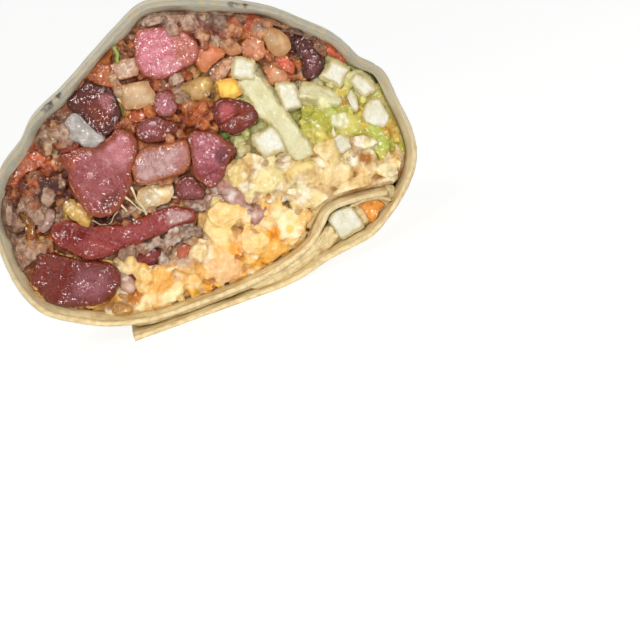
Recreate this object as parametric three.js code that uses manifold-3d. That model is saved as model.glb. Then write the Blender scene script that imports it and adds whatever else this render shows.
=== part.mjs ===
// Half a loaded burrito, lying on its seam with the cut face to the front.
// Millimetres, +Z up, +X to the right of the cut face, +Y from the cut face to the closed end.
// The origin is on the resting plane, under the middle of the half.
import * as THREE from 'three';
import { mergeVertices } from 'three/addons/utils/BufferGeometryUtils.js';
import Module from 'manifold-3d';

const wasm = await Module();
wasm.setup();

// ---------- driving dimensions ----------

const halfLength = 87; // from the cut rim to the closed end
const sheetThickness = 2.2; // flour tortilla
const gap = 0.3; // clearance between pieces that touch
const rimY = -halfLength / 2; // the plane of the knife's cut
const endY = halfLength / 2;
const domeY = 17; // where the closed end starts to round in
const domeCentreZ = 33; // height that the closed end gathers to
const endThickness = 5; // folded layers at the closed end
const bulge = 0.03; // how far the wall swells behind the rim, as a share of the section
const taper = 0.04; // how much narrower the wall is where the closed end starts
const tuck = 0.985; // how nearly the closed end draws in to a point

// Recess of each filling's bare surface behind the rim plane.
const recess = { meat: 6.5, fries: 5, guacamole: 3.4, potato: 3.6, cheesy: 4.6 };

const seamFryWidth = 5.8; // thin-cut fry, square across
const diceDepth = 8; // how far diced vegetables reach into the filling
const nuggetDepth = 6; // and the soft lumps that are fused to a filling

const colour = {
  tortilla: '#c9bfa2',
  beef: '#8b6a56',
  sausage: '#b0656b',
  tomato: '#c8684a',
  onion: '#cfae8c',
  fry: '#eae5c4',
  potato: '#e6d2a4',
  cheesy: '#e7b765',
  guacamole: '#b3bf5a',
  cheese: '#cfa455',
  cream: '#cdbcb0',
};

// ---------- seeded draws ----------

// A repeatable stream of numbers from 0 to 1.
function stream(seed) {
  let state = seed >>> 0;
  return () => {
    state = (Math.imul(state, 1664525) + 1013904223) >>> 0;
    return state / 2 ** 32;
  };
}

// A seed that belongs to a place, so that each piece is uneven in its own way.
const seedOf = ([x, z]) => Math.round((x + 60) * 131 + (z + 10) * 17);

// ---------- solids ----------

// A closed mesh from corner points and faces, as a solid that points outwards.
function solidOf(points, faces) {
  const geometry = new THREE.BufferGeometry().setFromPoints(points);
  geometry.setIndex(faces.flat());
  return solidOfGeometry(geometry);
}

function solidOfGeometry(source) {
  const geometry = source.clone();
  geometry.deleteAttribute('normal');
  geometry.deleteAttribute('uv');
  const merged = mergeVertices(geometry, 1e-4);
  const vertProperties = new Float32Array(merged.attributes.position.array);
  const triVerts = new Uint32Array(merged.index.array);
  const build = () =>
    new wasm.Manifold(new wasm.Mesh({ numProp: 3, vertProperties, triVerts }));
  const solid = build();
  if (solid.volume() > 0) return solid;
  for (let i = 0; i < triVerts.length; i += 3) {
    [triVerts[i + 1], triVerts[i + 2]] = [triVerts[i + 2], triVerts[i + 1]];
  }
  return build();
}

function geometryOf(solid) {
  const { vertProperties, triVerts, numProp } = solid.getMesh();
  const geometry = new THREE.BufferGeometry();
  geometry.setAttribute('position', new THREE.BufferAttribute(vertProperties, numProp));
  geometry.setIndex(new THREE.BufferAttribute(triVerts, 1));
  return geometry;
}

const union = (solids) => solids.reduce((all, next) => all.add(next));

// The largest connected body, with loose scraps dropped.
function largest(solid) {
  const bodies = solid.decompose();
  return bodies.reduce((best, body) => (body.volume() > best.volume() ? body : best));
}

const reach = (solid) => {
  const { min, max } = solid.boundingBox();
  return new THREE.Box3(new THREE.Vector3(...min), new THREE.Vector3(...max));
};

// Skins a row of rings that all have the same number of points, and closes both ends with flat caps.
function loft(rings) {
  const sides = rings[0].length;
  const points = rings.flat();
  const faces = [];
  for (let ring = 0; ring + 1 < rings.length; ring += 1) {
    for (let i = 0; i < sides; i += 1) {
      const a = ring * sides + i;
      const b = ring * sides + ((i + 1) % sides);
      faces.push([a, b, b + sides], [a, b + sides, a + sides]);
    }
  }
  const last = (rings.length - 1) * sides;
  const outline = rings[0].map((p) => new THREE.Vector2(p.x, p.z));
  const clockwise = THREE.ShapeUtils.isClockWise(outline);
  for (const triangle of THREE.ShapeUtils.triangulateShape(outline, [])) {
    const [a, b, c] = clockwise ? triangle.reverse() : triangle;
    faces.push([c, b, a], [last + a, last + b, last + c]);
  }
  return solidOf(points, faces);
}

// ---------- the wrap ----------

// Middle line of the sheet across the cut, from its inner end, under the filling, up the left side,
// over the top, down the right side and back under as the outer layer.
const innerLayer = [
  [38.6, 12.9], [31.5, 13.8], [24.8, 13.5], [21.4, 10.8], [18, 7.8],
  [9, 4.9], [0, 3.9], [-10, 3.7], [-20, 3.9], [-30, 6],
];
const leftWall = [[-36.5, 9.1], [-43.3, 13.8], [-46.5, 20.3], [-47.4, 30.2], [-46.3, 38.8], [-42, 45.6]];
const crown = [
  [-35.2, 50.3], [-31, 54.3], [-21.8, 58.6], [-13.8, 63], [-5.8, 67.2],
  [1, 69.9], [9.7, 67.9], [18.5, 64.4], [27.3, 59.6], [33.2, 54.5],
];
const rightWall = [[38.6, 49.3], [42.1, 42.8], [45.7, 38.8], [46.7, 32], [47.5, 23.2], [46.3, 17.7], [42.5, 12.6]];
const outerLayer = [[37.8, 8.7], [32, 5.3], [26, 4.3], [20, 3.4], [14.5, 1.9]];
const flatStart = 9; // the outer layer lies flat from here
const flapEnd = -27; // to its loose, square-cut end

const turnRoute = new THREE.CatmullRomCurve3(
  [...innerLayer, ...leftWall, ...crown, ...rightWall, ...outerLayer, [flatStart, sheetThickness / 2]]
    .map(([x, z]) => new THREE.Vector3(x, 0, z)),
  false, 'centripetal');

const routeSteps = 68;
const flatSteps = 3;

// Points and outward normals along the sheet's middle line.
const route = (() => {
  const samples = [];
  for (let i = 0; i < routeSteps; i += 1) {
    const point = turnRoute.getPointAt(i / routeSteps);
    const tangent = turnRoute.getTangentAt(i / routeSteps);
    samples.push({ x: point.x, z: point.z, nx: -tangent.z, nz: tangent.x, turn: i / routeSteps });
  }
  for (let i = 0; i <= flatSteps; i += 1) {
    const x = THREE.MathUtils.lerp(flatStart, flapEnd, i / flatSteps);
    samples.push({ x, z: sheetThickness / 2, nx: 0, nz: -1, turn: 1 });
  }
  return samples;
})();

// The wall swells a little behind the rim, narrows, and rounds in to the closed end.
function sectionScale(y) {
  const along = THREE.MathUtils.clamp((y - rimY) / (domeY - rimY), 0, 1);
  return 1 + bulge * Math.sin(Math.PI * Math.min(along * 1.25, 1)) - taper * along ** 2;
}

// Moves a point of the cut face back to depth y. `inset` thickens the closed end.
function atDepth(x, z, y, inset = 0) {
  const scale = sectionScale(y);
  const w = THREE.MathUtils.clamp((y - domeY) / (endY - inset - domeY), 0, 1);
  const gather = (1 - (tuck * w) ** 2.3) ** (1 / 2.1);
  const crease = 1 + 0.035 * w * Math.sin(5 * Math.atan2(z - domeCentreZ, x) + 0.7);
  const k = gather * crease;
  const centreZ = domeCentreZ * scale;
  return new THREE.Vector3(x * scale * k, y, centreZ + (z * scale - centreZ) * k);
}

// How far the cut rim stands back from the knife's plane, all round the turn.
const rimWave = (turn) =>
  0.45 + 0.3 * Math.sin(turn * 2 * Math.PI * 3 + 0.6) + 0.15 * Math.sin(turn * 2 * Math.PI * 8);

// The rolled sheet, from the rim to the start of the closed end.
function rolledSheet(thickness) {
  const rows = [rimY, rimY + 8, rimY + 22, rimY + 40, domeY];
  const points = [];
  for (const [row, rowY] of rows.entries()) {
    for (const side of [1, -1]) {
      for (const { x, z, nx, nz, turn } of route) {
        const offset = (side * thickness) / 2;
        const y = row === 0 ? rowY + rimWave(turn) : rowY;
        points.push(atDepth(x + nx * offset, z + nz * offset, y));
      }
    }
  }
  const wide = route.length;
  const at = (row, side, i) => (row * 2 + side) * wide + i;
  const last = rows.length - 1;
  const faces = [];
  const quad = (a, b, c, d) => faces.push([a, b, c], [a, c, d]);
  for (let i = 0; i + 1 < wide; i += 1) {
    for (let row = 0; row < last; row += 1) {
      quad(at(row, 0, i), at(row + 1, 0, i), at(row + 1, 0, i + 1), at(row, 0, i + 1));
      quad(at(row, 1, i), at(row, 1, i + 1), at(row + 1, 1, i + 1), at(row + 1, 1, i));
    }
    quad(at(0, 0, i), at(0, 0, i + 1), at(0, 1, i + 1), at(0, 1, i));
    quad(at(last, 0, i), at(last, 1, i), at(last, 1, i + 1), at(last, 0, i + 1));
  }
  for (let row = 0; row < last; row += 1) {
    quad(at(row, 0, 0), at(row, 1, 0), at(row + 1, 1, 0), at(row + 1, 0, 0));
    const end = wide - 1;
    quad(at(row, 0, end), at(row + 1, 0, end), at(row + 1, 1, end), at(row, 1, end));
  }
  return solidOf(points, faces);
}

// The closed outline of the half's outside, and of the space that the first turn encloses.
const outsideOutline = route
  .filter(({ turn, x }) => turn > 0.3 || x < flapEnd - 1.5)
  .map(({ x, z, nx, nz }) => ({ x: x + (nx * sheetThickness) / 2, z: z + (nz * sheetThickness) / 2 }));
const insideReach = 0.87; // share of the route whose inner side bounds the filling
const archStart = 0.24; // the share between these two only bends one way,
const archEnd = 0.68; // so every other point of it is enough
const insideOutline = (clearance) => route
  .filter(({ turn }, i) => turn < insideReach && (turn < archStart || turn > archEnd || i % 2 === 0))
  .map(({ x, z, nx, nz }) => {
    const offset = sheetThickness / 2 + clearance;
    return { x: x - nx * offset, z: z - nz * offset };
  });

// A closed body that follows an outline from frontY back to the rounded end.
function vessel(outline, frontY, inset, endRows) {
  const wallRows = [rimY + 14, rimY + 38, domeY].filter((y) => y > frontY);
  const rows = [frontY, ...wallRows, ...endRows.map((w) => domeY + w * (endY - inset - domeY))];
  return loft(rows.map((y) => outline.map(({ x, z }) => atDepth(x, z, y, inset))));
}

const forward = 6; // how far cutting bodies run out in front of the rim
const fineEnd = [0.35, 0.6, 0.8, 0.93, 1];
const plainEnd = [0.45, 0.75, 0.96];
const cavity = vessel(insideOutline(0), rimY - forward, endThickness, plainEnd);
const fillingSpace = vessel(insideOutline(gap * 1.4), rimY - forward, endThickness + gap, plainEnd);
const closedEnd = vessel(outsideOutline, domeY - 3, 0, fineEnd).subtract(cavity);
const wrap = largest(rolledSheet(sheetThickness).add(closedEnd));
const sheetRoom = rolledSheet(sheetThickness + 2 * gap);

// ---------- shapes of the food ----------

// A place on the cut face, turned about the line of sight.
function turned(points, [x, z], degrees) {
  const angle = THREE.MathUtils.degToRad(degrees);
  const cos = Math.cos(angle);
  const sin = Math.sin(angle);
  return points.map((p) => new THREE.Vector3(
    x + p.x * cos - p.z * sin, p.y, z + p.x * sin + p.z * cos));
}

// A rounded chunk: `size` is its width and height on the cut face, `front` how far its cut side
// stands behind the rim plane, `depth` how far it reaches into the filling. With a margin it is the
// plainer room that the chunk needs, open to the front.
function lump({ at, size, turn = 0, square = 2.3, front = 2, depth = nuggetDepth, sides = 12 }, margin = 0) {
  const random = stream(seedOf(at));
  const lobes = [2, 3, 5].map((count) => ({ count, phase: random() * 7, swell: 0.045 * random() }));
  const edge = Math.min(1.6, Math.min(...size) * 0.25);
  const body = depth > nuggetDepth ? [[edge, 1], [depth * 0.62, 0.97]] : [[edge, 1]];
  const profile = margin > 0
    ? [[-1 - margin, 1], [depth + margin, 1]]
    : [[-0.3, 0.62], [edge * 0.35, 0.93], ...body, [depth, 0.6]];
  const rings = profile.map(([y, share]) => {
    const ring = [];
    for (let i = 0; i < sides; i += 1) {
      const angle = (i / sides) * 2 * Math.PI;
      const cos = Math.cos(angle);
      const sin = Math.sin(angle);
      const round = (Math.abs(cos) ** square + Math.abs(sin) ** square) ** (-1 / square);
      const uneven = lobes.reduce((sum, l) => sum + l.swell * Math.sin(l.count * angle + l.phase), 1);
      const reachOut = round * uneven * share;
      const halfWidth = size[0] / 2 + margin * 1.25;
      const halfHeight = size[1] / 2 + margin * 1.25;
      ring.push(new THREE.Vector3(
        halfWidth * reachOut * cos, rimY + front + y, halfHeight * reachOut * sin));
    }
    return turned(ring, at, turn);
  });
  return loft(rings);
}

// An outline moved outwards by a distance, or inwards by a negative one.
function widened(outline, distance) {
  const turn = THREE.ShapeUtils.area(outline.map(([x, z]) => new THREE.Vector2(x, z))) > 0 ? 1 : -1;
  const outward = ([x, z], [nextX, nextZ]) => new THREE.Vector2(nextZ - z, x - nextX).normalize().multiplyScalar(turn);
  return outline.map((corner, i) => {
    const before = outward(outline[(i + outline.length - 1) % outline.length], corner);
    const after = outward(corner, outline[(i + 1) % outline.length]);
    const middle = before.clone().add(after).normalize();
    const step = distance / Math.max(0.6, middle.dot(before));
    return [corner[0] + middle.x * step, corner[1] + middle.y * step];
  });
}

// A cut piece's eased front edge and its taper to the back: how far back, as a share of the ease and of
// the depth, and how far out, as a share of the ease.
const slabEdge = [[0.4, -0.25], [1.4, 0]];
const slabTaper = [[0.7, -0.4], [1, -1.2]];
const slabRoom = 1.25; // how much wider than the margin the room around a cut piece is

// A piece that the knife went through: its outline on the cut face, with an eased front edge, carried
// back into the filling. With a margin it is the room that the piece needs, open to the front.
function slab({ outline, front = 2, depth = diceDepth, ease = 0.6 }, margin = 0) {
  const room = margin * slabRoom;
  const profile = margin > 0
    ? [[-1 - margin, room], [depth + margin, room]]
    : [[0, -ease], ...slabEdge.map(([back, out]) => [ease * back, ease * out]),
      ...slabTaper.map(([back, out]) => [depth * back, ease * out])];
  return loft(profile.map(([y, out]) => widened(outline, out)
    .map(([x, z]) => new THREE.Vector3(x, rimY + front + y, z))));
}

// The eight corners of a rectangle with eased corners, in the plane y.
function easedRectangle(a, b, ease, y) {
  return [
    [a, -b + ease], [a, b - ease], [a - ease, b], [-a + ease, b],
    [-a, b - ease], [-a, -b + ease], [-a + ease, -b], [a - ease, -b],
  ].map(([x, z]) => new THREE.Vector3(x, y, z));
}

function plainRectangle(a, b, y) {
  return [[a, -b], [a, b], [-a, b], [-a, -b]].map(([x, z]) => new THREE.Vector3(x, y, z));
}

// A bar along Y with eased edges, or with a margin the plain box that it needs.
function bar(width, height, length, ease, margin) {
  const a = width / 2 + margin;
  const b = height / 2 + margin;
  if (margin > 0) return loft([plainRectangle(a, b, -1 - margin), plainRectangle(a, b, length + margin)]);
  return loft([
    easedRectangle(a - ease, b - ease, ease, 0), easedRectangle(a, b, ease, ease),
    easedRectangle(a, b, ease, length - ease), easedRectangle(a - ease, b - ease, ease, length),
  ]);
}

// A diced or cut piece, square to the cut face.
function block({ at, size, turn = 0, front = 2, depth = diceDepth, ease = 0.7 }, margin = 0) {
  const geometry = geometryOf(bar(size[0], size[1], depth, ease, margin));
  geometry.rotateY(THREE.MathUtils.degToRad(-turn)).translate(at[0], rimY + front, at[1]);
  return solidOfGeometry(geometry);
}

// A fry from its cut end `from` to its far end `to`, both [x, y behind the rim plane, z].
function stick({ from, to, width = seamFryWidth, roll = 0 }, margin = 0) {
  const start = new THREE.Vector3(from[0], rimY + from[1], from[2]);
  const axis = new THREE.Vector3(to[0], rimY + to[1], to[2]).sub(start);
  const pose = new THREE.Quaternion().setFromUnitVectors(
    new THREE.Vector3(0, 1, 0), axis.clone().normalize());
  const geometry = geometryOf(bar(width, width, axis.length(), 0.5, margin));
  geometry.rotateY(THREE.MathUtils.degToRad(-roll)).applyQuaternion(pose).translate(...start);
  return solidOfGeometry(geometry);
}

// A small uneven crumb, fused to what it lies on.
function crumb({ at, size, front = 2 }) {
  const random = stream(seedOf(at) + 7);
  const geometry = new THREE.IcosahedronGeometry(0.5, 0);
  geometry.rotateX(random() * 3).rotateZ(random() * 3);
  geometry.scale(size[0], (size[0] + size[1]) / 1.6, size[1]);
  geometry.translate(at[0], rimY + front + (size[0] + size[1]) / 4, at[1]);
  return solidOfGeometry(geometry);
}

// A filling that runs the length of the half: its outline on the cut face, carried back to the
// closed end. The outlines of neighbours leave the gap between them.
function layer(outline, frontRecess) {
  const ringAt = (y) => outline.map(([x, z]) => new THREE.Vector3(x, y, z));
  return loft([ringAt(rimY + frontRecess), ringAt(endY)]);
}

// ---------- the fillings' outlines on the cut face ----------

const cheesyOutline = [
  [-36, -2], [-34, 10], [-25, 11.5], [-22, 16], [-12, 17.5], [-5, 18.5], [-4, 22.6], [4, 22.8],
  [7, 18.6], [11, 20], [18.3, 18.2], [18.8, 11.5], [19, -2],
];
const potatoOutline = [
  [19.3, -2], [19.2, 11.5], [18.8, 18.6], [11, 20.6], [8, 20], [5, 24], [7.5, 28], [14, 29.4],
  [23, 28], [33, 27.8], [38, 25.4], [40, 20.6], [44, 19.6], [56, 18], [56, -2],
];
const guacamoleOutline = [
  [23.5, 28.4], [27, 35.8], [33, 38.4], [37, 40.2], [41, 38.6], [44, 36.2], [56, 35],
  [56, 18.4], [44, 20], [40.4, 21], [38.4, 25.8], [33, 28.2],
];
const friesOutline = [
  [8, 28.6], [6.5, 31], [9.6, 38], [15, 44.8], [14.4, 51.6], [19.6, 53.6], [22.6, 46], [28, 45.4],
  [30.8, 42.4], [35, 46.6], [40, 48.2], [56, 48], [56, 35.4], [44, 36.6], [41, 39], [37, 40.6],
  [33, 38.8], [27, 36.2], [23, 28.6], [14, 29.8],
];
const meatOutline = [
  [-60, -2], [-36.4, -2], [-34.4, 10.4], [-25.3, 12], [-22.3, 16.4], [-12, 17.9], [-5.3, 18.9],
  [-4.3, 23], [4, 23.2], [4.6, 24.2], [7, 28.2], [6, 31], [9.2, 38.2], [14.6, 45], [14, 52],
  [19.9, 54.2], [23, 46.4], [28.2, 45.8], [30.9, 43], [34.8, 47], [40, 48.6], [60, 48.4], [60, 90], [-60, 90],
];

// ---------- the pieces that show on the cut face, the most prominent first ----------
// An outline runs round the piece on the cut face as [x, z]. `front` is how far its cut side stands
// behind the rim plane, and `depth` how far it reaches into the filling.

const sausages = {
  sausage_top_coin: {
    front: 0.8, depth: 22, ease: 0.9,
    outline: [
      [-1.8, 65.9], [1, 65.3], [4, 64.9], [6.4, 63.5], [8.2, 61.9], [9.4, 59.9], [9.2, 57.7], [8, 56.1],
      [5.6, 55.1], [2.8, 54.5], [0, 54.2], [-2.2, 55], [-4.4, 56.8], [-5, 59], [-4.5, 61.6], [-3.4, 64.3],
    ],
  },
  sausage_two_lobed: {
    front: 1.2, depth: 24, ease: 0.9,
    outline: [
      [-27.8, 45.6], [-26, 45.4], [-24.2, 45.6], [-22.4, 45.2], [-20.4, 44.8], [-18, 45.4], [-15, 46.9],
      [-13.4, 46.4], [-12.1, 45], [-11.5, 42.8], [-11.9, 40.4], [-13.4, 38.6], [-14.8, 37.2], [-15.4, 35.4],
      [-17, 33.4], [-18.8, 31.6], [-20.4, 30], [-22, 29.3], [-24.2, 29.5], [-26, 30.6], [-27.4, 32.6],
      [-28.2, 36], [-28.5, 40], [-28.3, 43.6],
    ],
  },
  sausage_low_left: {
    front: 0.8, depth: 26, ease: 1,
    outline: [
      [-44.2, 21.6], [-42.4, 23.6], [-40.4, 25.6], [-38, 25], [-36, 23.6], [-33.8, 22.4], [-31.6, 21],
      [-29, 19.8], [-26.6, 18.6], [-25.6, 17], [-25.6, 15], [-26.4, 13.4], [-28.2, 12.1], [-31, 11.3],
      [-34, 11.3], [-37, 12.1], [-40, 13.5], [-42.6, 15.4], [-44.4, 17.4], [-45, 19.6],
    ],
  },
  sausage_middle: {
    front: 0.6, depth: 16, ease: 0.8,
    outline: [
      [-13.8, 38.9], [-12, 40.1], [-9.5, 40.6], [-6.5, 39.9], [-3.5, 39.7], [-1, 39.4], [-0.4, 37.6],
      [-0.7, 35.6], [-1.7, 33.7], [-3.6, 33], [-6.5, 32.7], [-9.5, 32.8], [-12.2, 33.2], [-14, 34.3],
      [-14.5, 35.7], [-14.3, 37.4],
    ],
  },
  sausage_right_lobe: {
    front: 1.2, depth: 22, ease: 0.9,
    outline: [
      [0.2, 39.6], [2, 40.2], [4, 39.6], [5.7, 38.4], [7, 37.1], [8.2, 35.3], [8.9, 33.8], [8.4, 32.6],
      [7.2, 31.6], [5.8, 30.2], [4.6, 28.7], [3.2, 27.6], [1.8, 27.3], [0.4, 28], [-0.7, 29.4],
      [-1.4, 31.1], [-1, 33], [-0.2, 34.8], [0.1, 37],
    ],
  },
  sausage_long_strip: {
    front: 1.4, depth: 14, ease: 0.8,
    outline: [
      [-36.6, 29.4], [-35.2, 31.3], [-33, 31.7], [-31, 30.6], [-29, 28.6], [-26.6, 27.5], [-23.6, 26.8],
      [-20, 26.1], [-16.5, 26], [-13, 26.3], [-10, 26.2], [-7.6, 25.4], [-5.6, 24.4], [-4.3, 23.1],
      [-4.9, 21.9], [-6.8, 21.5], [-10, 21.6], [-13, 21.4], [-17, 21.2], [-22, 21], [-27, 20.8],
      [-30.2, 21.3], [-31.8, 22.8], [-33.4, 24.9], [-35.6, 26.7],
    ],
  },
  sausage_dark_left: {
    front: 1.8, depth: 20, ease: 0.9,
    outline: [
      [-18.8, 60.1], [-17, 59.5], [-15.8, 58.1], [-14.3, 56.7], [-12.7, 55.6], [-12.2, 53.6], [-12.4, 51],
      [-13.1, 49.2], [-14.6, 47.9], [-16.4, 46.9], [-17.8, 46.9], [-19, 47.9], [-20, 49.7], [-20.8, 52.1],
      [-22, 54.1], [-22.6, 56.1], [-21.8, 57.9], [-20.2, 59.3],
    ],
  },
  sausage_dark_centre: {
    front: 2, depth: 16,
    outline: [
      [-9.9, 45.6], [-8.4, 46.8], [-5.6, 46.6], [-3.6, 45.5], [-2, 44.3], [-1.2, 42.7], [-2.2, 41.6],
      [-4.4, 40.9], [-7, 41.2], [-9, 41.9], [-10.3, 43.7],
    ],
  },
  sausage_round_end: {
    front: 1.6, depth: 18, ease: 1,
    outline: [
      [7.7, 43.7], [8.8, 44.7], [10.4, 45.1], [12.2, 44.7], [13.8, 43.5], [15.4, 42.5], [16.6, 41.1],
      [16.9, 39.7], [16, 38.3], [14, 37.3], [11.6, 36.9], [9.8, 37.5], [8.4, 38.9], [7.8, 40.7], [7.5, 42.3],
    ],
  },
  sausage_right_upright: {
    front: 2.2, depth: 16,
    outline: [
      [30.5, 51.4], [31.4, 52.2], [33, 51.9], [34, 50.7], [33.9, 48.7], [34.6, 47.1], [34.9, 45.3],
      [34.5, 44], [33, 43.1], [31, 42.8], [29.9, 43.9], [30.3, 45.7], [30.9, 47.5], [30.4, 49.5],
    ],
  },
  sausage_mauve: {
    front: 2, depth: 12,
    outline: [
      [-4.5, 48.7], [-3.6, 50.5], [-2.2, 51.5], [-0.6, 51.1], [0.4, 49.7], [0.6, 47.9], [-0.4, 46.4],
      [-2, 45.9], [-3.6, 46.8],
    ],
  },
  sausage_small_purple: {
    front: 2, depth: 12,
    outline: [
      [-6.8, 28.3], [-6, 29.9], [-5, 31.1], [-3.4, 31.3], [-2, 30.3], [-1.5, 28.5], [-0.8, 26.7],
      [-1.8, 25.9], [-3.8, 26.1], [-5.8, 26.8],
    ],
  },
  sausage_low_strip: {
    front: 2.4, depth: 12, ease: 0.4,
    outline: [
      [-23.3, 15.2], [-22, 17.5], [-20.4, 18.2], [-18, 17.9], [-15.8, 18.1], [-14.6, 16.9], [-16, 15.9],
      [-18.6, 15.3], [-20.6, 14.1], [-22.4, 13.5],
    ],
  },
  sausage_small_left: {
    front: 2, depth: 10, ease: 0.3,
    outline: [[-27.5, 46.2], [-27.1, 48.4], [-25.4, 48.3], [-23.6, 46.9], [-24.3, 46], [-26, 45.9]],
  },
};

const onions = {
  onion_slice_left: {
    front: 1.8, depth: 7,
    outline: [
      [-22.2, 53.2], [-21, 52.2], [-20.4, 50.6], [-19.5, 48.6], [-18.5, 47.2], [-17.9, 46.2], [-18.6, 45.4],
      [-20.2, 45], [-21.8, 45.5], [-23.1, 46.3], [-24.2, 47.7], [-25, 49], [-25.1, 50.3], [-24.5, 51.8],
      [-23.4, 52.9],
    ],
  },
  onion_top: { outline: [[-10.3, 60.8], [-7.6, 61.2], [-5, 60.7], [-4.9, 58.4], [-5.5, 57.1], [-8, 57], [-10.2, 57.5]] },
  onion_centre: {
    front: 1.8,
    outline: [
      [-10.2, 56], [-7, 55.4], [-4.3, 54.5], [-3.4, 51.6], [-3.9, 50.2], [-4.8, 49.6], [-7.8, 49.9],
      [-10.7, 50.5], [-10.5, 53],
    ],
  },
  onion_right: {
    front: 2.4,
    outline: [
      [24.4, 56.2], [26.2, 57], [28.2, 55.1], [29, 53.1], [28.6, 51.1], [27, 50.2], [25.2, 50.8],
      [24.4, 52.5], [24.1, 54.5],
    ],
  },
  onion_upper_right: {
    front: 2.8, ease: 0.4,
    outline: [[14.1, 57.9], [16, 57.6], [17.8, 56.3], [18.3, 54.8], [17.6, 53.6], [15.6, 54.3], [14.8, 55.6]],
  },
  onion_lower_right: {
    front: 2.8,
    outline: [
      [10.4, 52.6], [12.6, 53.2], [14.6, 53.6], [16.8, 53], [15, 51.5], [13.5, 50.1], [12, 49.5],
      [10.6, 49.9], [10.2, 51.3],
    ],
  },
  onion_low: {
    front: 2.2, ease: 0.3,
    outline: [
      [-25.2, 17.6], [-24.4, 15.9], [-23.5, 13.7], [-22.5, 11.9], [-23.4, 10.9], [-24.8, 11.1],
      [-25.8, 12.5], [-25.9, 14.7],
    ],
  },
  onion_far_left: {
    front: 2.8, ease: 0.4,
    outline: [
      [-38.9, 32.9], [-37.6, 34.5], [-35, 35.1], [-34.4, 34.1], [-35, 32.3], [-36.9, 30.9], [-38.6, 30.7],
      [-39.2, 31.6],
    ],
  },
  onion_strand: {
    front: 2.6,
    outline: [
      [-16.2, 29.4], [-14.4, 31.9], [-12, 32], [-9.4, 31.5], [-7.4, 30.7], [-7.3, 28.7], [-9, 27.7],
      [-11, 27.6], [-13, 27], [-15.4, 27.2],
    ],
  },
};

const tomatoes = {
  tomato_left: {
    front: 2.8,
    outline: [
      [-41.4, 44.5], [-39.6, 46.9], [-37, 48.5], [-34.6, 48.5], [-32.4, 47.5], [-30.6, 46.5], [-31.4, 44.9],
      [-34, 44.9], [-37, 44.5], [-39.6, 43.5],
    ],
  },
  tomato_upper_left: {
    front: 2.8,
    outline: [
      [-15.4, 60.3], [-13.8, 62], [-11.2, 62.3], [-10.7, 60.6], [-10.8, 58.1], [-11.9, 56.5],
      [-13.4, 56.6], [-15, 58.2],
    ],
  },
  tomato_centre: {
    front: 2,
    outline: [
      [8, 56.1], [9.4, 57.6], [12, 57.6], [14, 56.4], [14.5, 55.1], [12.8, 54], [10.2, 53.1],
      [9.2, 52.3], [8.2, 53.4], [7.9, 54.8],
    ],
  },
  tomato_upper_right: { front: 2.8, outline: [[20.8, 59.6], [22.4, 60.4], [24.4, 59.5], [24.7, 57.8], [23, 57], [21.2, 57.6]] },
  tomato_peach: {
    front: 2.4,
    outline: [
      [18.5, 54.4], [19.6, 55.9], [21.4, 56.5], [23.4, 55.4], [23.9, 53.7], [23.4, 51.9], [21.4, 51.1],
      [19.7, 51.4], [18.6, 52.6],
    ],
  },
  tomato_red_right: {
    front: 2.2, ease: 0.35,
    outline: [[24.8, 49.6], [26, 50.1], [27.5, 49.2], [28.1, 47], [27.7, 45.3], [26.3, 46.6], [25, 48]],
  },
  tomato_pale_right: {
    front: 2.4,
    outline: [[21.9, 48.3], [24, 48.8], [25, 47.6], [26.2, 46.1], [26.2, 44.5], [24, 44.2], [22.4, 45]],
  },
  tomato_rim: {
    front: 2.4, ease: 0.3,
    outline: [
      [36.5, 47.7], [37.3, 49.3], [38.6, 48.7], [39.7, 46.9], [40.5, 44.7], [39.8, 43.9], [38.4, 45.6],
      [37, 46.4],
    ],
  },
  tomato_middle: {
    front: 2.6, ease: 0.4,
    outline: [[-10.8, 49.3], [-8, 49.5], [-6.7, 48.9], [-7, 47.3], [-9.4, 46.9], [-10.9, 47.7]],
  },
  tomato_low: {
    front: 2.4, ease: 0.4,
    outline: [[-11.2, 16.1], [-9.6, 16.7], [-8.2, 15.7], [-8.4, 13.9], [-10, 13.5], [-11.4, 14.5]],
  },
};

const cheeses = {
  cheese_amber: {
    front: 2.8, depth: 7, ease: 0.35,
    outline: [
      [-41.6, 36.7], [-40.2, 37.5], [-39.4, 35.7], [-39.6, 33.1], [-40.2, 30.9], [-41.2, 29.7],
      [-42.4, 30.7], [-42, 33.1], [-41.8, 35.1],
    ],
  },
  cheese_strand: {
    front: 2.4, depth: 7, ease: 0.35,
    outline: [
      [-32.2, 35.6], [-30.6, 35.7], [-28.9, 33.9], [-27.8, 31.5], [-26.8, 29.4], [-27.8, 28.6],
      [-29.6, 29.9], [-31.2, 31.5], [-32.4, 33.3],
    ],
  },
  cheese_melt: {
    front: 2.4,
    outline: [
      [1.2, 50.9], [3, 52], [6, 52.2], [8.8, 51.4], [9.6, 49.7], [8.6, 47.9], [6.4, 47.1], [3.8, 47.3],
      [2.2, 48.7],
    ],
  },
  cheese_yellow: {
    front: 2.2, depth: 7,
    outline: [
      [9.9, 49], [12, 49.3], [13.3, 48.4], [14.4, 46.7], [14.3, 44.9], [12.4, 45], [10.5, 45.9],
      [9.7, 47.5],
    ],
  },
};

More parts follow.
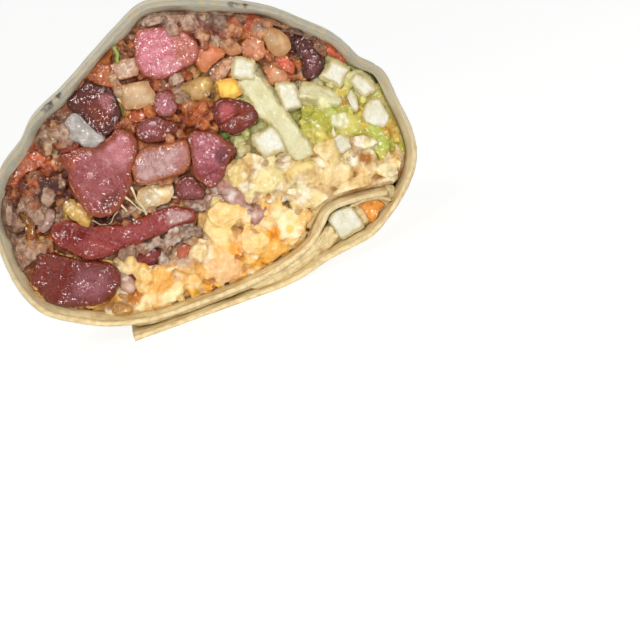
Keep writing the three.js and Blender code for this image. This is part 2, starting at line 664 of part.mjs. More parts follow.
const creamStreak = [
  { at: [5.4, 26.6], size: [4.6, 4.2], turn: -20, front: 1.6, depth: 10, sides: 8 },
  { at: [5.8, 22.6], size: [4.2, 6.2], turn: 14, front: 2, depth: 10, sides: 8 },
  { at: [8.6, 18.4], size: [4, 5], turn: 30, front: 1.8, depth: 10, sides: 8 },
];
const beefStrip = {
  front: 2.4, depth: 14,
  outline: [
    [27.9, 57.5], [30, 57.6], [33, 55.7], [36, 53.5], [37.7, 51.2], [36.5, 50.5], [34.7, 51.5], [32.4, 52.7],
    [30.6, 53.5], [29.2, 54.7], [28.3, 56.1],
  ],
};

// Pieces caught between the sheet's inner end and its outer layer.
const seamFry = { from: [27.6, 1.8, 9.1], to: [27, 26, 9.3], roll: 12 };
const cheddarWedge = { at: [34.8, 9.8], size: [4.6, 4.6], turn: 28, front: 2.6, depth: 16 };

// Fries that stand in the guacamole, each by itself.
const looseFries = {
  fry_in_guacamole_right: {
    front: 1.4, depth: 25,
    outline: [
      [40, 31.5], [41.2, 33.1], [43.4, 33.3], [45.1, 31.9], [45.7, 29.7], [45, 27.8], [43, 27.1],
      [41, 27.7], [39.8, 29.5],
    ],
  },
  fry_in_guacamole_low: {
    front: 1.8, depth: 22,
    outline: [[30.3, 27.9], [33, 28.6], [35.1, 26.9], [34.8, 24.5], [32, 24.1], [30.1, 25.7]],
  },
  fry_in_guacamole_top: {
    front: 2, depth: 18,
    outline: [[36.9, 38], [38.8, 38.2], [39.7, 35.7], [39.5, 32.8], [38, 32.1], [36.7, 34.2]],
  },
};

// Fries of the bundle, fused to its core: two lie along the cut, and the rest show their cut ends.
const bundle = [
  {
    front: 3.2, depth: 5,
    outline: [
      [15, 47.7], [17, 47.8], [20.6, 48.4], [21.5, 45.7], [22.3, 42.1], [22.9, 38.5], [23.6, 35],
      [24.3, 31.4], [24.8, 28.6], [23.5, 27.6], [22.1, 29.6], [20.8, 32.9], [18.7, 35.9], [17.4, 38.9],
      [16.4, 42.1], [15.3, 45.1],
    ],
  },
  {
    front: 3, depth: 6,
    outline: [
      [27.5, 41.3], [29, 42.1], [31.4, 41.4], [33, 39.7], [35, 38.3], [36.2, 36.7], [35.8, 34.9],
      [34, 34.5], [32.4, 36.1], [30.4, 37.3], [28.4, 37.5], [27.5, 38.5],
    ],
  },
  {
    front: 2.2, depth: 14,
    outline: [
      [14.6, 49.7], [15.8, 51.4], [17.5, 52.6], [19.1, 51.7], [20.2, 49.6], [19.6, 48.1], [17, 47.8],
      [15.2, 48.1],
    ],
  },
  { front: 2, depth: 20, outline: [[22.7, 43.7], [26.4, 44], [27.2, 39.8], [26.8, 37.8], [24, 37.6], [23.4, 40.6]] },
  {
    front: 1.6, depth: 24,
    outline: [
      [34.8, 44.1], [37.6, 45.7], [39.9, 43.5], [40.1, 41.1], [38.2, 39.1], [35.4, 38.7], [33.8, 40.4],
      [33.7, 42.5],
    ],
  },
  {
    front: 1.8, depth: 22,
    outline: [
      [40.4, 40.2], [42.4, 40.6], [44.1, 38.5], [44.5, 36.4], [43.4, 34.6], [41.6, 34.7], [40.1, 36.4],
      [39.8, 38.6],
    ],
  },
  {
    front: 2.6, depth: 20,
    outline: [
      [14.8, 34.8], [18, 35.5], [19.6, 34.1], [20.4, 31.6], [19.8, 29.6], [16, 29.4], [14.6, 30.7],
      [14.1, 32.9],
    ],
  },
];

// Soft lumps fused to the fillings' cores, and crumbs of beef on the meat.
const cheesyLumps = [
  { at: [-17.5, 12.2], size: [9, 5.2], turn: 8, front: 2.2 },
  { at: [-24.6, 7.8], size: [6.4, 3.4], turn: 12, front: 2.4 },
  { at: [-15.6, 7.6], size: [8.4, 3.8], turn: 15, front: 1.8 },
  { at: [-5.3, 12.9], size: [4.8, 4.6], front: 2.4 },
  { at: [-1.6, 8], size: [8, 5], turn: 10, front: 1.8 },
  { at: [-0.2, 17.8], size: [6.6, 8.4], turn: 12, front: 1.8 },
  { at: [4.4, 12.4], size: [5, 5.4], front: 2 },
  { at: [9.4, 9.2], size: [6.6, 5.6], turn: 20, front: 1.6 },
  { at: [14, 15.4], size: [6.4, 6], turn: -15, front: 2 },
  { at: [15.2, 10.6], size: [4, 4.8], turn: -10, front: 2.4 },
];
const potatoLumps = [
  { at: [14, 24.6], size: [7.6, 5.2], turn: 10, front: 1.4 },
  { at: [22.4, 23], size: [7.4, 5.6], turn: -12, front: 1.6 },
  { at: [29.4, 20.4], size: [7, 4.6], turn: 14, front: 1.2 },
  { at: [23.2, 17], size: [7.6, 4.2], turn: -18, front: 1.4 },
  { at: [32, 15.6], size: [7.4, 3.8], turn: 6, front: 1.6 },
  { at: [36.8, 20.4], size: [4.4, 5.6], turn: -8, front: 1.6 },
  { at: [40.6, 14.8], size: [3.4, 5], turn: -28, front: 2 },
];
const guacamoleLumps = [
  { at: [30.6, 33.4], size: [6.2, 5], turn: 20, front: 1.2 },
  { at: [41.2, 24.8], size: [4.6, 7], turn: -10, front: 1 },
  { at: [36, 29.8], size: [4.8, 4], turn: 10, front: 1.4 },
];
const beefCrumbs = [
  { at: [-29, 50.6], size: [6.4, 5.6], front: 2.6 },
  { at: [-43.4, 35], size: [4, 6], front: 3.4 },
  { at: [-33.6, 40], size: [4.6, 5], front: 3.6 },
  { at: [-38.4, 39.6], size: [4.6, 4.4], front: 3.2 },
  { at: [1.6, 67.4], size: [6, 3.4], front: 2 },
  { at: [7.6, 66], size: [5.6, 3.6], front: 2.6 },
  { at: [11.4, 62.6], size: [5, 4.6], front: 3 },
  { at: [15.6, 62], size: [5, 4.6], front: 2.4 },
  { at: [16.4, 59], size: [4.4, 3.6], front: 3.4 },
  { at: [-11.4, 18.6], size: [6, 3], front: 3.2 },
  { at: [-6.6, 17.6], size: [4.6, 3.4], front: 3 },
  { at: [-22.6, 18.2], size: [4.4, 3], front: 4 },
  { at: [3.4, 43.4], size: [7, 4.6], front: 3.4 },
  { at: [3.6, 53.4], size: [5, 2.8], front: 3.6 },
  { at: [-12.6, 51.8], size: [3, 5], front: 3.6 },
];

// ---------- packing: later pieces give way to earlier ones, with the gap between them ----------

const placed = [];

function place(name, make, material) {
  let solid = make(0).intersect(fillingSpace);
  const box = reach(solid);
  for (const other of placed) {
    if (box.intersectsBox(other.box)) solid = solid.subtract(other.room);
  }
  solid = largest(solid);
  const room = make(gap);
  placed.push({ name, solid, room, box: reach(room), material });
}

const kinds = [
  [looseFries, 'fry'], [sausages, 'sausage'], [onions, 'onion'], [tomatoes, 'tomato'], [cheeses, 'cheese'],
  [{ beef_strip: beefStrip }, 'beef'],
];
for (const [pieces, material] of kinds) {
  for (const [name, shape] of Object.entries(pieces)) place(name, (margin) => slab(shape, margin), material);
}
place('cream_sauce', (margin) => union(creamStreak.map((lobe) => lump(lobe, margin))), 'cream');

const fillings = [];

// A filling's bare body with what is fused to it, kept inside its own outline and cut back where
// single pieces sit in it.
function fill(name, outline, frontRecess, fused, material) {
  const ownSpace = layer(outline, -forward).intersect(fillingSpace);
  let solid = union([layer(outline, frontRecess), ...fused]).intersect(ownSpace);
  for (const { room } of placed) solid = solid.subtract(room);
  fillings.push({ name, solid: largest(solid), material });
}

const nuggets = (lumps) => lumps.map((each) => lump({ ...each, sides: 7 }));
fill('guacamole', guacamoleOutline, recess.guacamole, nuggets(guacamoleLumps), 'guacamole');
fill('potato_cream', potatoOutline, recess.potato, nuggets(potatoLumps), 'potato');
fill('cheesy_potato', cheesyOutline, recess.cheesy, nuggets(cheesyLumps), 'cheesy');
fill('fries', friesOutline, recess.fries, bundle.map((fry) => slab(fry)), 'fry');
fill('meat_mix', meatOutline, recess.meat, beefCrumbs.map(crumb), 'beef');

// ---------- the model ----------

const finish = {
  tortilla: { roughness: 0.75 },
  beef: { roughness: 0.55 },
  sausage: { roughness: 0.3 },
  tomato: { roughness: 0.35 },
  onion: { roughness: 0.35 },
  fry: { roughness: 0.6 },
  potato: { roughness: 0.5 },
  cheesy: { roughness: 0.45 },
  guacamole: { roughness: 0.4 },
  cheese: { roughness: 0.3 },
  cream: { roughness: 0.4 },
};

function piece(name, solid, material) {
  const mesh = new THREE.Mesh(
    geometryOf(solid),
    new THREE.MeshStandardMaterial({ color: colour[material], metalness: 0, ...finish[material] }));
  mesh.geometry.computeVertexNormals();
  mesh.name = name;
  return mesh;
}

const burrito = new THREE.Group();
burrito.name = 'burrito_half';
burrito.add(piece('tortilla', wrap, 'tortilla'));
for (const { name, solid, material } of [...fillings, ...placed]) burrito.add(piece(name, solid, material));
burrito.add(piece('fry_by_seam', largest(stick(seamFry).subtract(sheetRoom)), 'fry'));
burrito.add(piece('cheddar_wedge', largest(block(cheddarWedge).subtract(sheetRoom)), 'cheese'));

export default burrito;
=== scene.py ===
"""Dresses the half burrito: its wrap, its fillings and what is scattered between them, in a soft studio."""

from __future__ import annotations

import logging
import math
from collections.abc import Iterable, Sequence
from dataclasses import dataclass, field, replace
from enum import Enum
from functools import cache

import bmesh
import bpy
import numpy as np
from mathutils import Matrix, Quaternion, Vector, noise
from mathutils.kdtree import KDTree


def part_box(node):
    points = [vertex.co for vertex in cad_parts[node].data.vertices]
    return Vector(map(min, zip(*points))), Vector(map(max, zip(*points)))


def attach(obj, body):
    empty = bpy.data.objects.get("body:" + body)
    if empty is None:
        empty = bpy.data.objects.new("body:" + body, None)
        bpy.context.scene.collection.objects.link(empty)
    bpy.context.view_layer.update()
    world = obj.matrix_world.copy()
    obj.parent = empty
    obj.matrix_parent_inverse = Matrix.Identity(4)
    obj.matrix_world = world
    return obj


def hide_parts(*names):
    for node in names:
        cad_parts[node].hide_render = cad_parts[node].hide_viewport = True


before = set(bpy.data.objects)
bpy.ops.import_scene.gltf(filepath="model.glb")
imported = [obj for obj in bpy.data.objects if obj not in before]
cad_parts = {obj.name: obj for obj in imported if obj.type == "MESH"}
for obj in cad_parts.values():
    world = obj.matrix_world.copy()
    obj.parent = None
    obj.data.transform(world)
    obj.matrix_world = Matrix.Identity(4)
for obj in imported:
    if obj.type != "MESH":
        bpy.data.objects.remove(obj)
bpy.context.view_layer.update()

LOG = logging.getLogger("burrito")

Array = np.ndarray
Mesh = bpy.types.Mesh
Piece = bpy.types.Object
Socket = bpy.types.NodeSocket
Tree = bpy.types.NodeTree
Faces = list[tuple[int, ...]]
Place = tuple[float, float, float]
Waves = tuple[tuple[float, float, float], ...]

MM = 0.001
BODY = "root"

# The knife's plane is the frame's front, in metres. It and the closed end follow in millimetres.
RIM_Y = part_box("tortilla")[0].y
RIM = RIM_Y / MM
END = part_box("tortilla")[1].y / MM
AT_RIM = Vector((0, RIM, 0))
FACE_CENTRE = Vector((0.0, RIM_Y, 0.0361))


# ==== Shared tools ====


def linear(code: str) -> tuple[float, float, float, float]:
    """Turns an sRGB hex code into the linear colour that a shader takes.

    Args:
        code: six hex digits after a hash.

    Returns:
        Red, green, blue and an alpha of one.
    """
    shares = [int(code[i : i + 2], 16) / 255 for i in (1, 3, 5)]
    red, green, blue = [s / 12.92 if s <= 0.04045 else ((s + 0.055) / 1.055) ** 2.4 for s in shares]
    return red, green, blue, 1.0


def laid_over(tint: Array, colour: str, share: Array) -> Array:
    """Lays a colour over the tint of each point, by the point's share."""
    return tint + share[:, None] * (np.array(linear(colour)[:3]) - tint)


def add_node(
    tree: Tree, kind: str, settings: dict[str, object] | None = None,
    links: dict[str | int, object] | None = None,
) -> bpy.types.Node:
    """Adds one node to a tree, sets it up and links it.

    Args:
        tree: the tree that gets the node.
        kind: the node's type name.
        settings: the node's own properties.
        links: a value or an output socket for each input, by name or by index. None leaves it alone.

    Returns:
        The new node.
    """
    node = tree.nodes.new(kind)
    for name, value in (settings or {}).items():
        setattr(node, name, value)
    for key, value in (links or {}).items():
        if isinstance(value, bpy.types.NodeSocket):
            tree.links.new(value, node.inputs[key])
        elif value is not None:
            node.inputs[key].default_value = value
    return node


def add_object(name: str, mesh: Mesh) -> Piece:
    """Puts a mesh into the scene as an object at the origin.

    Args:
        name: the object's name.
        mesh: its mesh, in place.

    Returns:
        The object.
    """
    piece = bpy.data.objects.new(name, mesh)
    bpy.context.scene.collection.objects.link(piece)
    return piece


def bake_modifiers(piece: Piece) -> None:
    """Turns a piece and its modifiers into a plain mesh."""
    graph = bpy.context.evaluated_depsgraph_get()
    settled = bpy.data.meshes.new_from_object(piece.evaluated_get(graph), depsgraph=graph)
    piece.modifiers.clear()
    piece.data = settled


def merge_doubles(mesh: Mesh, outward: bool = True, slivers: bool = False) -> None:
    """Merges the points of a mesh that coincide.

    Args:
        mesh: the mesh.
        outward: whether its faces are turned outwards as well.
        slivers: whether faces without an area are dissolved as well.
    """
    clean = bmesh.new()
    clean.from_mesh(mesh)
    bmesh.ops.remove_doubles(clean, verts=clean.verts, dist=1e-6)
    if slivers:
        bmesh.ops.dissolve_degenerate(clean, edges=clean.edges, dist=1e-7)
    if outward:
        bmesh.ops.recalc_face_normals(clean, faces=clean.faces)
    clean.to_mesh(mesh)
    clean.free()


def join_shells(name: str, shells: Iterable[tuple[Array, Faces]]) -> Piece:
    """Makes one object from several closed shells.

    Args:
        name: the object's name.
        shells: the points of each shell, in metres, and the corners of its faces.

    Returns:
        The object.
    """
    points: list[tuple[float, float, float]] = []
    faces: Faces = []
    for shell, skin in shells:
        faces += [tuple(len(points) + corner for corner in face) for face in skin]
        points += [tuple(point) for point in shell]
    mesh = bpy.data.meshes.new(name)
    mesh.from_pydata(points, [], faces)
    merge_doubles(mesh)
    return add_object(name, mesh)


def ring_faces(rings: int, around: int, first: int = 0) -> Faces:
    """Lists the faces between rings of points.

    Args:
        rings: how many rings there are.
        around: how many points each has.
        first: the number of the first point.

    Returns:
        The corners of each face.
    """
    faces = []
    for low in range(first, first + (rings - 1) * around, around):
        for spoke in range(around):
            after = (spoke + 1) % around
            faces.append((low + spoke, low + after, low + around + after, low + around + spoke))
    return faces


def cad_copy(name: str, node: str) -> Piece:
    """Copies a CAD node's mesh, with its loose triangles joined.

    Args:
        name: the copy's name.
        node: the CAD node.

    Returns:
        The copy, as an object of its own.
    """
    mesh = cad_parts[node].data.copy()
    mesh.materials.clear()
    merge_doubles(mesh, outward=False)
    return add_object(name, mesh)


def rows_of(data: bpy.types.bpy_prop_collection, name: str) -> Array:
    """Reads three numbers of each item as an array with one row each."""
    flat = np.empty(len(data) * 3, dtype=np.float32)
    data.foreach_get(name, flat)
    return flat.reshape(-1, 3).astype(float)


def positions(mesh: Mesh) -> Array:
    """Reads a mesh's points, one row each, in metres."""
    return rows_of(mesh.vertices, "co")


def normals(mesh: Mesh) -> Array:
    """Reads a mesh's point normals, one row each."""
    return rows_of(mesh.vertex_normals, "vector")


def facing(mesh: Mesh) -> Array:
    """Gives how far each point faces the front: 1 straight on, and 0 sideways."""
    return -normals(mesh)[:, 1]


def behind_rim(points: Array) -> Array:
    """Gives how many millimetres each point lies behind the rim plane."""
    return (points[:, 1] - RIM_Y) / MM


def away_from(points: Array, x: float, z: float) -> Array:
    """Gives each point's distance from a place on the cut face, all in millimetres."""
    return np.hypot(points[:, 0] / MM - x, points[:, 2] / MM - z)


def move_points(mesh: Mesh, points: Array) -> None:
    """Moves a mesh's points to new places."""
    mesh.vertices.foreach_set("co", points.astype(np.float32).ravel())
    mesh.update()


def stretch(mesh: Mesh, factors: tuple[float, float]) -> None:
    """Stretches a mesh across and up about its middle, so that it presses on its neighbours."""
    points = positions(mesh)
    middle = (points.min(axis=0) + points.max(axis=0)) / 2
    move_points(mesh, middle + (points - middle) * (factors[0], 1.0, factors[1]))


def inside_outline(mesh: Mesh, reach: float = 5.0) -> Array:
    """Measures how far each point lies inside the outline that shows from the front.

    Args:
        mesh: the mesh of a piece.
        reach: how deep the piece's side walls are looked at, in millimetres.

    Returns:
        Millimetres from the outline, and 0 on the walls.
    """
    points = positions(mesh)
    ahead = facing(mesh)
    front = points[:, 1].min()
    walls = points[(np.abs(ahead) < 0.4) & (points[:, 1] < front + reach * MM)][:, (0, 2)]
    shown = ahead > 0.4
    nearest = []
    for part in np.array_split(points[shown][:, (0, 2)], max(1, shown.sum() // 400)):
        gaps = walls[None, :, :] - part[:, None, :]
        nearest.append(np.min(np.hypot(*gaps.transpose(2, 0, 1)), axis=1))
    away = np.zeros(len(points))
    away[shown] = np.concatenate(nearest) / MM
    return away


def travelled(curve: Array) -> Array:
    """Gives the way along a curve to each of its points."""
    return np.concatenate([[0], np.cumsum(np.linalg.norm(np.diff(curve, axis=0), axis=1))])


def resampled(curve: Array, count: int) -> Array:
    """Places that many points evenly along a flat curve."""
    along = travelled(curve)
    marks = np.linspace(0, along[-1], count)
    return np.stack([np.interp(marks, along, curve[:, k]) for k in (0, 1)], axis=1)


def outward_of(line: Array) -> Array:
    """Gives the direction to the left of a flat line at each of its points."""
    tangent = np.gradient(line, axis=0)
    tangent /= np.linalg.norm(tangent, axis=1)[:, None]
    return np.stack([-tangent[:, 1], tangent[:, 0]], axis=1)


def store(mesh: Mesh, name: str, values: Array) -> None:
    """Stores values for the points of a mesh, with the kind of layer that their width asks for.

    Args:
        mesh: the mesh.
        name: the layer's name.
        values: one number, three for a vector or four for a colour, for each point.
    """
    width = values.shape[1] if values.ndim > 1 else 1
    kind, key = {1: ("FLOAT", "value"), 3: ("FLOAT_VECTOR", "vector"), 4: ("FLOAT_COLOR", "color")}[width]
    layer = mesh.attributes.get(name) or mesh.attributes.new(name, kind, "POINT")
    layer.data.foreach_set(key, values.astype(np.float32).ravel())


def store_tint(mesh: Mesh, tint: Array) -> None:
    """Stores one linear colour for each point of a mesh."""
    store(mesh, "tint", np.column_stack([tint, np.ones(len(tint))]))


def stored(mesh: Mesh, name: str) -> Array:
    """Reads the number that a mesh stores for each point under a name."""
    values = np.zeros(len(mesh.vertices), dtype=np.float32)
    if len(values):
        mesh.attributes[name].data.foreach_get("value", values)
    return values


def tree_of(points: Sequence[Sequence[float]]) -> KDTree:
    """Sorts numbered points, so that the nearest one is found fast."""
    tree = KDTree(len(points))
    for number, point in enumerate(points):
        tree.insert(point, number)
    tree.balance()
    return tree


def smoothstep(low: float, high: float, value: Array) -> Array:
    """Eases from 0 at `low` to 1 at `high`."""
    share = np.clip((value - low) / (high - low), 0.0, 1.0)
    return share * share * (3.0 - 2.0 * share)


def waves(at: Array, rows: Waves) -> Array:
    """Adds up sine waves, each a height, a frequency and a phase."""
    return sum(height * np.sin(at * often + phase) for height, often, phase in rows)


def ripple(points: Array, size: float, seed: int) -> Array:
    """Smooth noise at each point, from about -1 to 1.

    Args:
        points: one row of coordinates each, in metres.
        size: the width of one swell, in metres.
        seed: picks another pattern.

    Returns:
        One value for each point.
    """
    shift = Vector((seed * 13.7, seed * 5.1, seed * 9.3))
    return np.array([noise.noise(Vector(p) / size + shift) for p in points])


@dataclass(frozen=True)
class Patch:
    """A soft-edged patch of colour on the cut face, in millimetres."""

    x: float
    z: float
    radius: float
    colour: str
    strength: float = 1.0


def paint(mesh: Mesh, base: str, patches: Iterable[Patch] = (), uneven: float = 0.35, seed: int = 1) -> Array:
    """Works out a tint for each point from a base colour and the patches over it.

    Args:
        mesh: the mesh to be tinted.
        base: the colour outside every patch.
        patches: the patches, the later over the earlier.
        uneven: how far a patch's edge wanders, as a share of its radius.
        seed: picks another wander.

    Returns:
        One linear colour for each point.
    """
    points = positions(mesh)
    tint = np.tile(np.array(linear(base)[:3]), (len(points), 1))
    wander = ripple(points, 3.2 * MM, seed) * uneven
    for patch in patches:
        away = away_from(points, patch.x, patch.z) / patch.radius
        weight = (1.0 - smoothstep(0.7, 1.25, away + wander)) * patch.strength
        tint = laid_over(tint, patch.colour, weight)
    return tint


# ==== Geometry Nodes: relief of a soft surface, and crumbs scattered over one ====


def socket_of(tree: Tree, name: str) -> str:
    """Finds the identifier of a tree's input by its name."""
    return next(
        item.identifier
        for item in tree.interface.items_tree
        if item.item_type == "SOCKET" and item.in_out == "INPUT" and item.name == name
    )


def new_tree(name: str, inputs: dict[str, str]) -> tuple[Tree, bpy.types.Node]:
    """Starts a geometry tree with a geometry input and output and further named inputs.

    Args:
        name: the tree's name.
        inputs: the socket type of each further input.

    Returns:
        The tree and its input node.
    """
    tree = bpy.data.node_groups.new(name, "GeometryNodeTree")
    tree.interface.new_socket("Geometry", in_out="INPUT", socket_type="NodeSocketGeometry")
    for socket, kind in inputs.items():
        tree.interface.new_socket(socket, in_out="INPUT", socket_type=kind)
    tree.interface.new_socket("Geometry", in_out="OUTPUT", socket_type="NodeSocketGeometry")
    return tree, add_node(tree, "NodeGroupInput")


def close_tree(tree: Tree, geometry: Socket, material: Socket) -> None:
    """Ends a geometry tree with its instances made real and its material set."""
    real = add_node(tree, "GeometryNodeRealizeInstances", links={"Geometry": geometry})
    dressed = add_node(
        tree, "GeometryNodeSetMaterial", links={"Geometry": real.outputs[0], "Material": material},
    )
    add_node(tree, "NodeGroupOutput", links={0: dressed.outputs[0]})


def run_tree(piece: Piece, tree: Tree, values: dict[str, object]) -> None:
    """Runs a geometry tree on a piece and keeps the result as its plain mesh.

    Args:
        piece: the piece that the tree works on.
        tree: the tree.
        values: a value for each named input.
    """
    modifier = piece.modifiers.new(tree.name, "NODES")
    modifier.node_group = tree
    for name, value in values.items():
        modifier[socket_of(tree, name)] = value
    bake_modifiers(piece)


class ReliefTree:
    """Lifts a surface along its normals by swells, lumps and grain, and remembers the height."""

    INPUTS = dict.fromkeys(
        ("Swell", "Swell Size", "Lump", "Lump Size", "Grain", "Grain Size", "Seed"), "NodeSocketFloat",
    ) | {"Material": "NodeSocketMaterial"}

    def __init__(self) -> None:
        """Builds the tree once, for every piece that uses it."""
        tree, given = new_tree("soft_relief", self.INPUTS)
        self.tree = tree
        out = given.outputs
        place = add_node(tree, "GeometryNodeInputPosition").outputs[0]
        waves_4d = {"noise_dimensions": "4D"}
        cells_4d = {"voronoi_dimensions": "4D", "feature": "SMOOTH_F1"}
        height = 0.0
        for name, kind, settings, fine, middle, joining in (
            ("Swell", "ShaderNodeTexNoise", waves_4d, {"Detail": 2.0}, 0.5, "ADD"),
            ("Lump", "ShaderNodeTexVoronoi", cells_4d, {"Smoothness": 0.25}, 0.45, "SUBTRACT"),
            ("Grain", "ShaderNodeTexNoise", waves_4d, {"Detail": 3.0}, 0.5, "ADD"),
        ):
            scale = add_node(
                tree, "ShaderNodeMath", {"operation": "DIVIDE"}, {0: 1.0, 1: out[f"{name} Size"]},
            ).outputs[0]
            links = {"Vector": place, "W": out["Seed"], "Scale": scale} | fine
            value = add_node(tree, kind, settings, links).outputs[0]
            for operation, operand in (("SUBTRACT", middle), ("MULTIPLY", out[name])):
                value = add_node(
                    tree, "ShaderNodeMath", {"operation": operation}, {0: value, 1: operand},
                ).outputs[0]
            height = add_node(
                tree, "ShaderNodeMath", {"operation": joining}, {0: height, 1: value},
            ).outputs[0]
        facing = add_node(tree, "GeometryNodeInputNormal").outputs[0]
        lift = add_node(tree, "ShaderNodeVectorMath", {"operation": "SCALE"}, {0: facing, "Scale": height})
        moved = add_node(
            tree, "GeometryNodeSetPosition", links={"Geometry": out["Geometry"], "Offset": lift.outputs[0]},
        )
        reach = add_node(tree, "ShaderNodeMath", {"operation": "ADD"}, {0: out["Swell"], 1: out["Lump"]})
        share = add_node(tree, "ShaderNodeMath", {"operation": "DIVIDE"}, {0: height, 1: reach.outputs[0]})
        kept = add_node(
            tree, "GeometryNodeStoreNamedAttribute", {"data_type": "FLOAT", "domain": "POINT"},
            {"Geometry": moved.outputs[0], "Name": "height", "Value": share.outputs[0]},
        )
        close_tree(tree, kept.outputs[0], out["Material"])


class ScatterTree:
    """Strews crumbs over the front of a host surface, where its `share` attribute asks for them."""

    INPUTS = dict.fromkeys(("Density", "Spacing", "Smallest", "Largest", "Lift"), "NodeSocketFloat") | {
        "Crumbs": "NodeSocketCollection", "Seed": "NodeSocketInt", "Material": "NodeSocketMaterial",
    }

    def __init__(self) -> None:
        """Builds the tree once, for every kind of crumb."""
        self.tree, given = new_tree("strewn_crumbs", self.INPUTS)
        out = given.outputs
        tree = self.tree
        wanted = add_node(
            tree, "GeometryNodeInputNamedAttribute", {"data_type": "FLOAT"}, {"Name": "share"},
        ).outputs[0]
        spots = add_node(
            tree, "GeometryNodeDistributePointsOnFaces", {"distribute_method": "POISSON"},
            {
                "Mesh": out["Geometry"], "Distance Min": out["Spacing"], "Density Max": out["Density"],
                "Density Factor": wanted, "Seed": out["Seed"],
            },
        )
        lift = add_node(
            tree, "ShaderNodeVectorMath", {"operation": "SCALE"},
            {0: spots.outputs["Normal"], "Scale": out["Lift"]},
        )
        raised = add_node(
            tree, "GeometryNodeSetPosition",
            links={"Geometry": spots.outputs["Points"], "Offset": lift.outputs[0]},
        )
        kinds = add_node(
            tree, "GeometryNodeCollectionInfo",
            links={"Collection": out["Crumbs"], "Separate Children": True, "Reset Children": True},
        )
        turn = add_node(
            tree, "FunctionNodeRandomValue", {"data_type": "FLOAT_VECTOR"},
            {0: (0.0, 0.0, 0.0), 1: (math.tau, math.tau, math.tau), "Seed": out["Seed"]},
        )
        size = add_node(
            tree, "FunctionNodeRandomValue", {"data_type": "FLOAT"},
            {2: out["Smallest"], 3: out["Largest"], "Seed": out["Seed"]},
        )
        crumbs = add_node(
            tree, "GeometryNodeInstanceOnPoints",
            links={
                "Points": raised.outputs[0], "Instance": kinds.outputs[0], "Pick Instance": True,
                "Rotation": turn.outputs[0], "Scale": size.outputs[1],
            },
        )
        shade = add_node(tree, "FunctionNodeRandomValue", {"data_type": "FLOAT"}, {2: 0.0, 3: 1.0, "Seed": 5})
        shaded = add_node(
            tree, "GeometryNodeStoreNamedAttribute", {"data_type": "FLOAT", "domain": "INSTANCE"},
            {"Geometry": crumbs.outputs[0], "Name": "shade", "Value": shade.outputs[1]},
        )
        close_tree(tree, shaded.outputs[0], out["Material"])


# ==== Finishes ====


def new_material(name: str) -> tuple[bpy.types.Material, Tree]:
    """Starts an empty material.

    Args:
        name: the material's name.

    Returns:
        The material and its node tree.
    """
    material = bpy.data.materials.new(name)
    material.use_nodes = True
    material.node_tree.nodes.clear()
    return material, material.node_tree


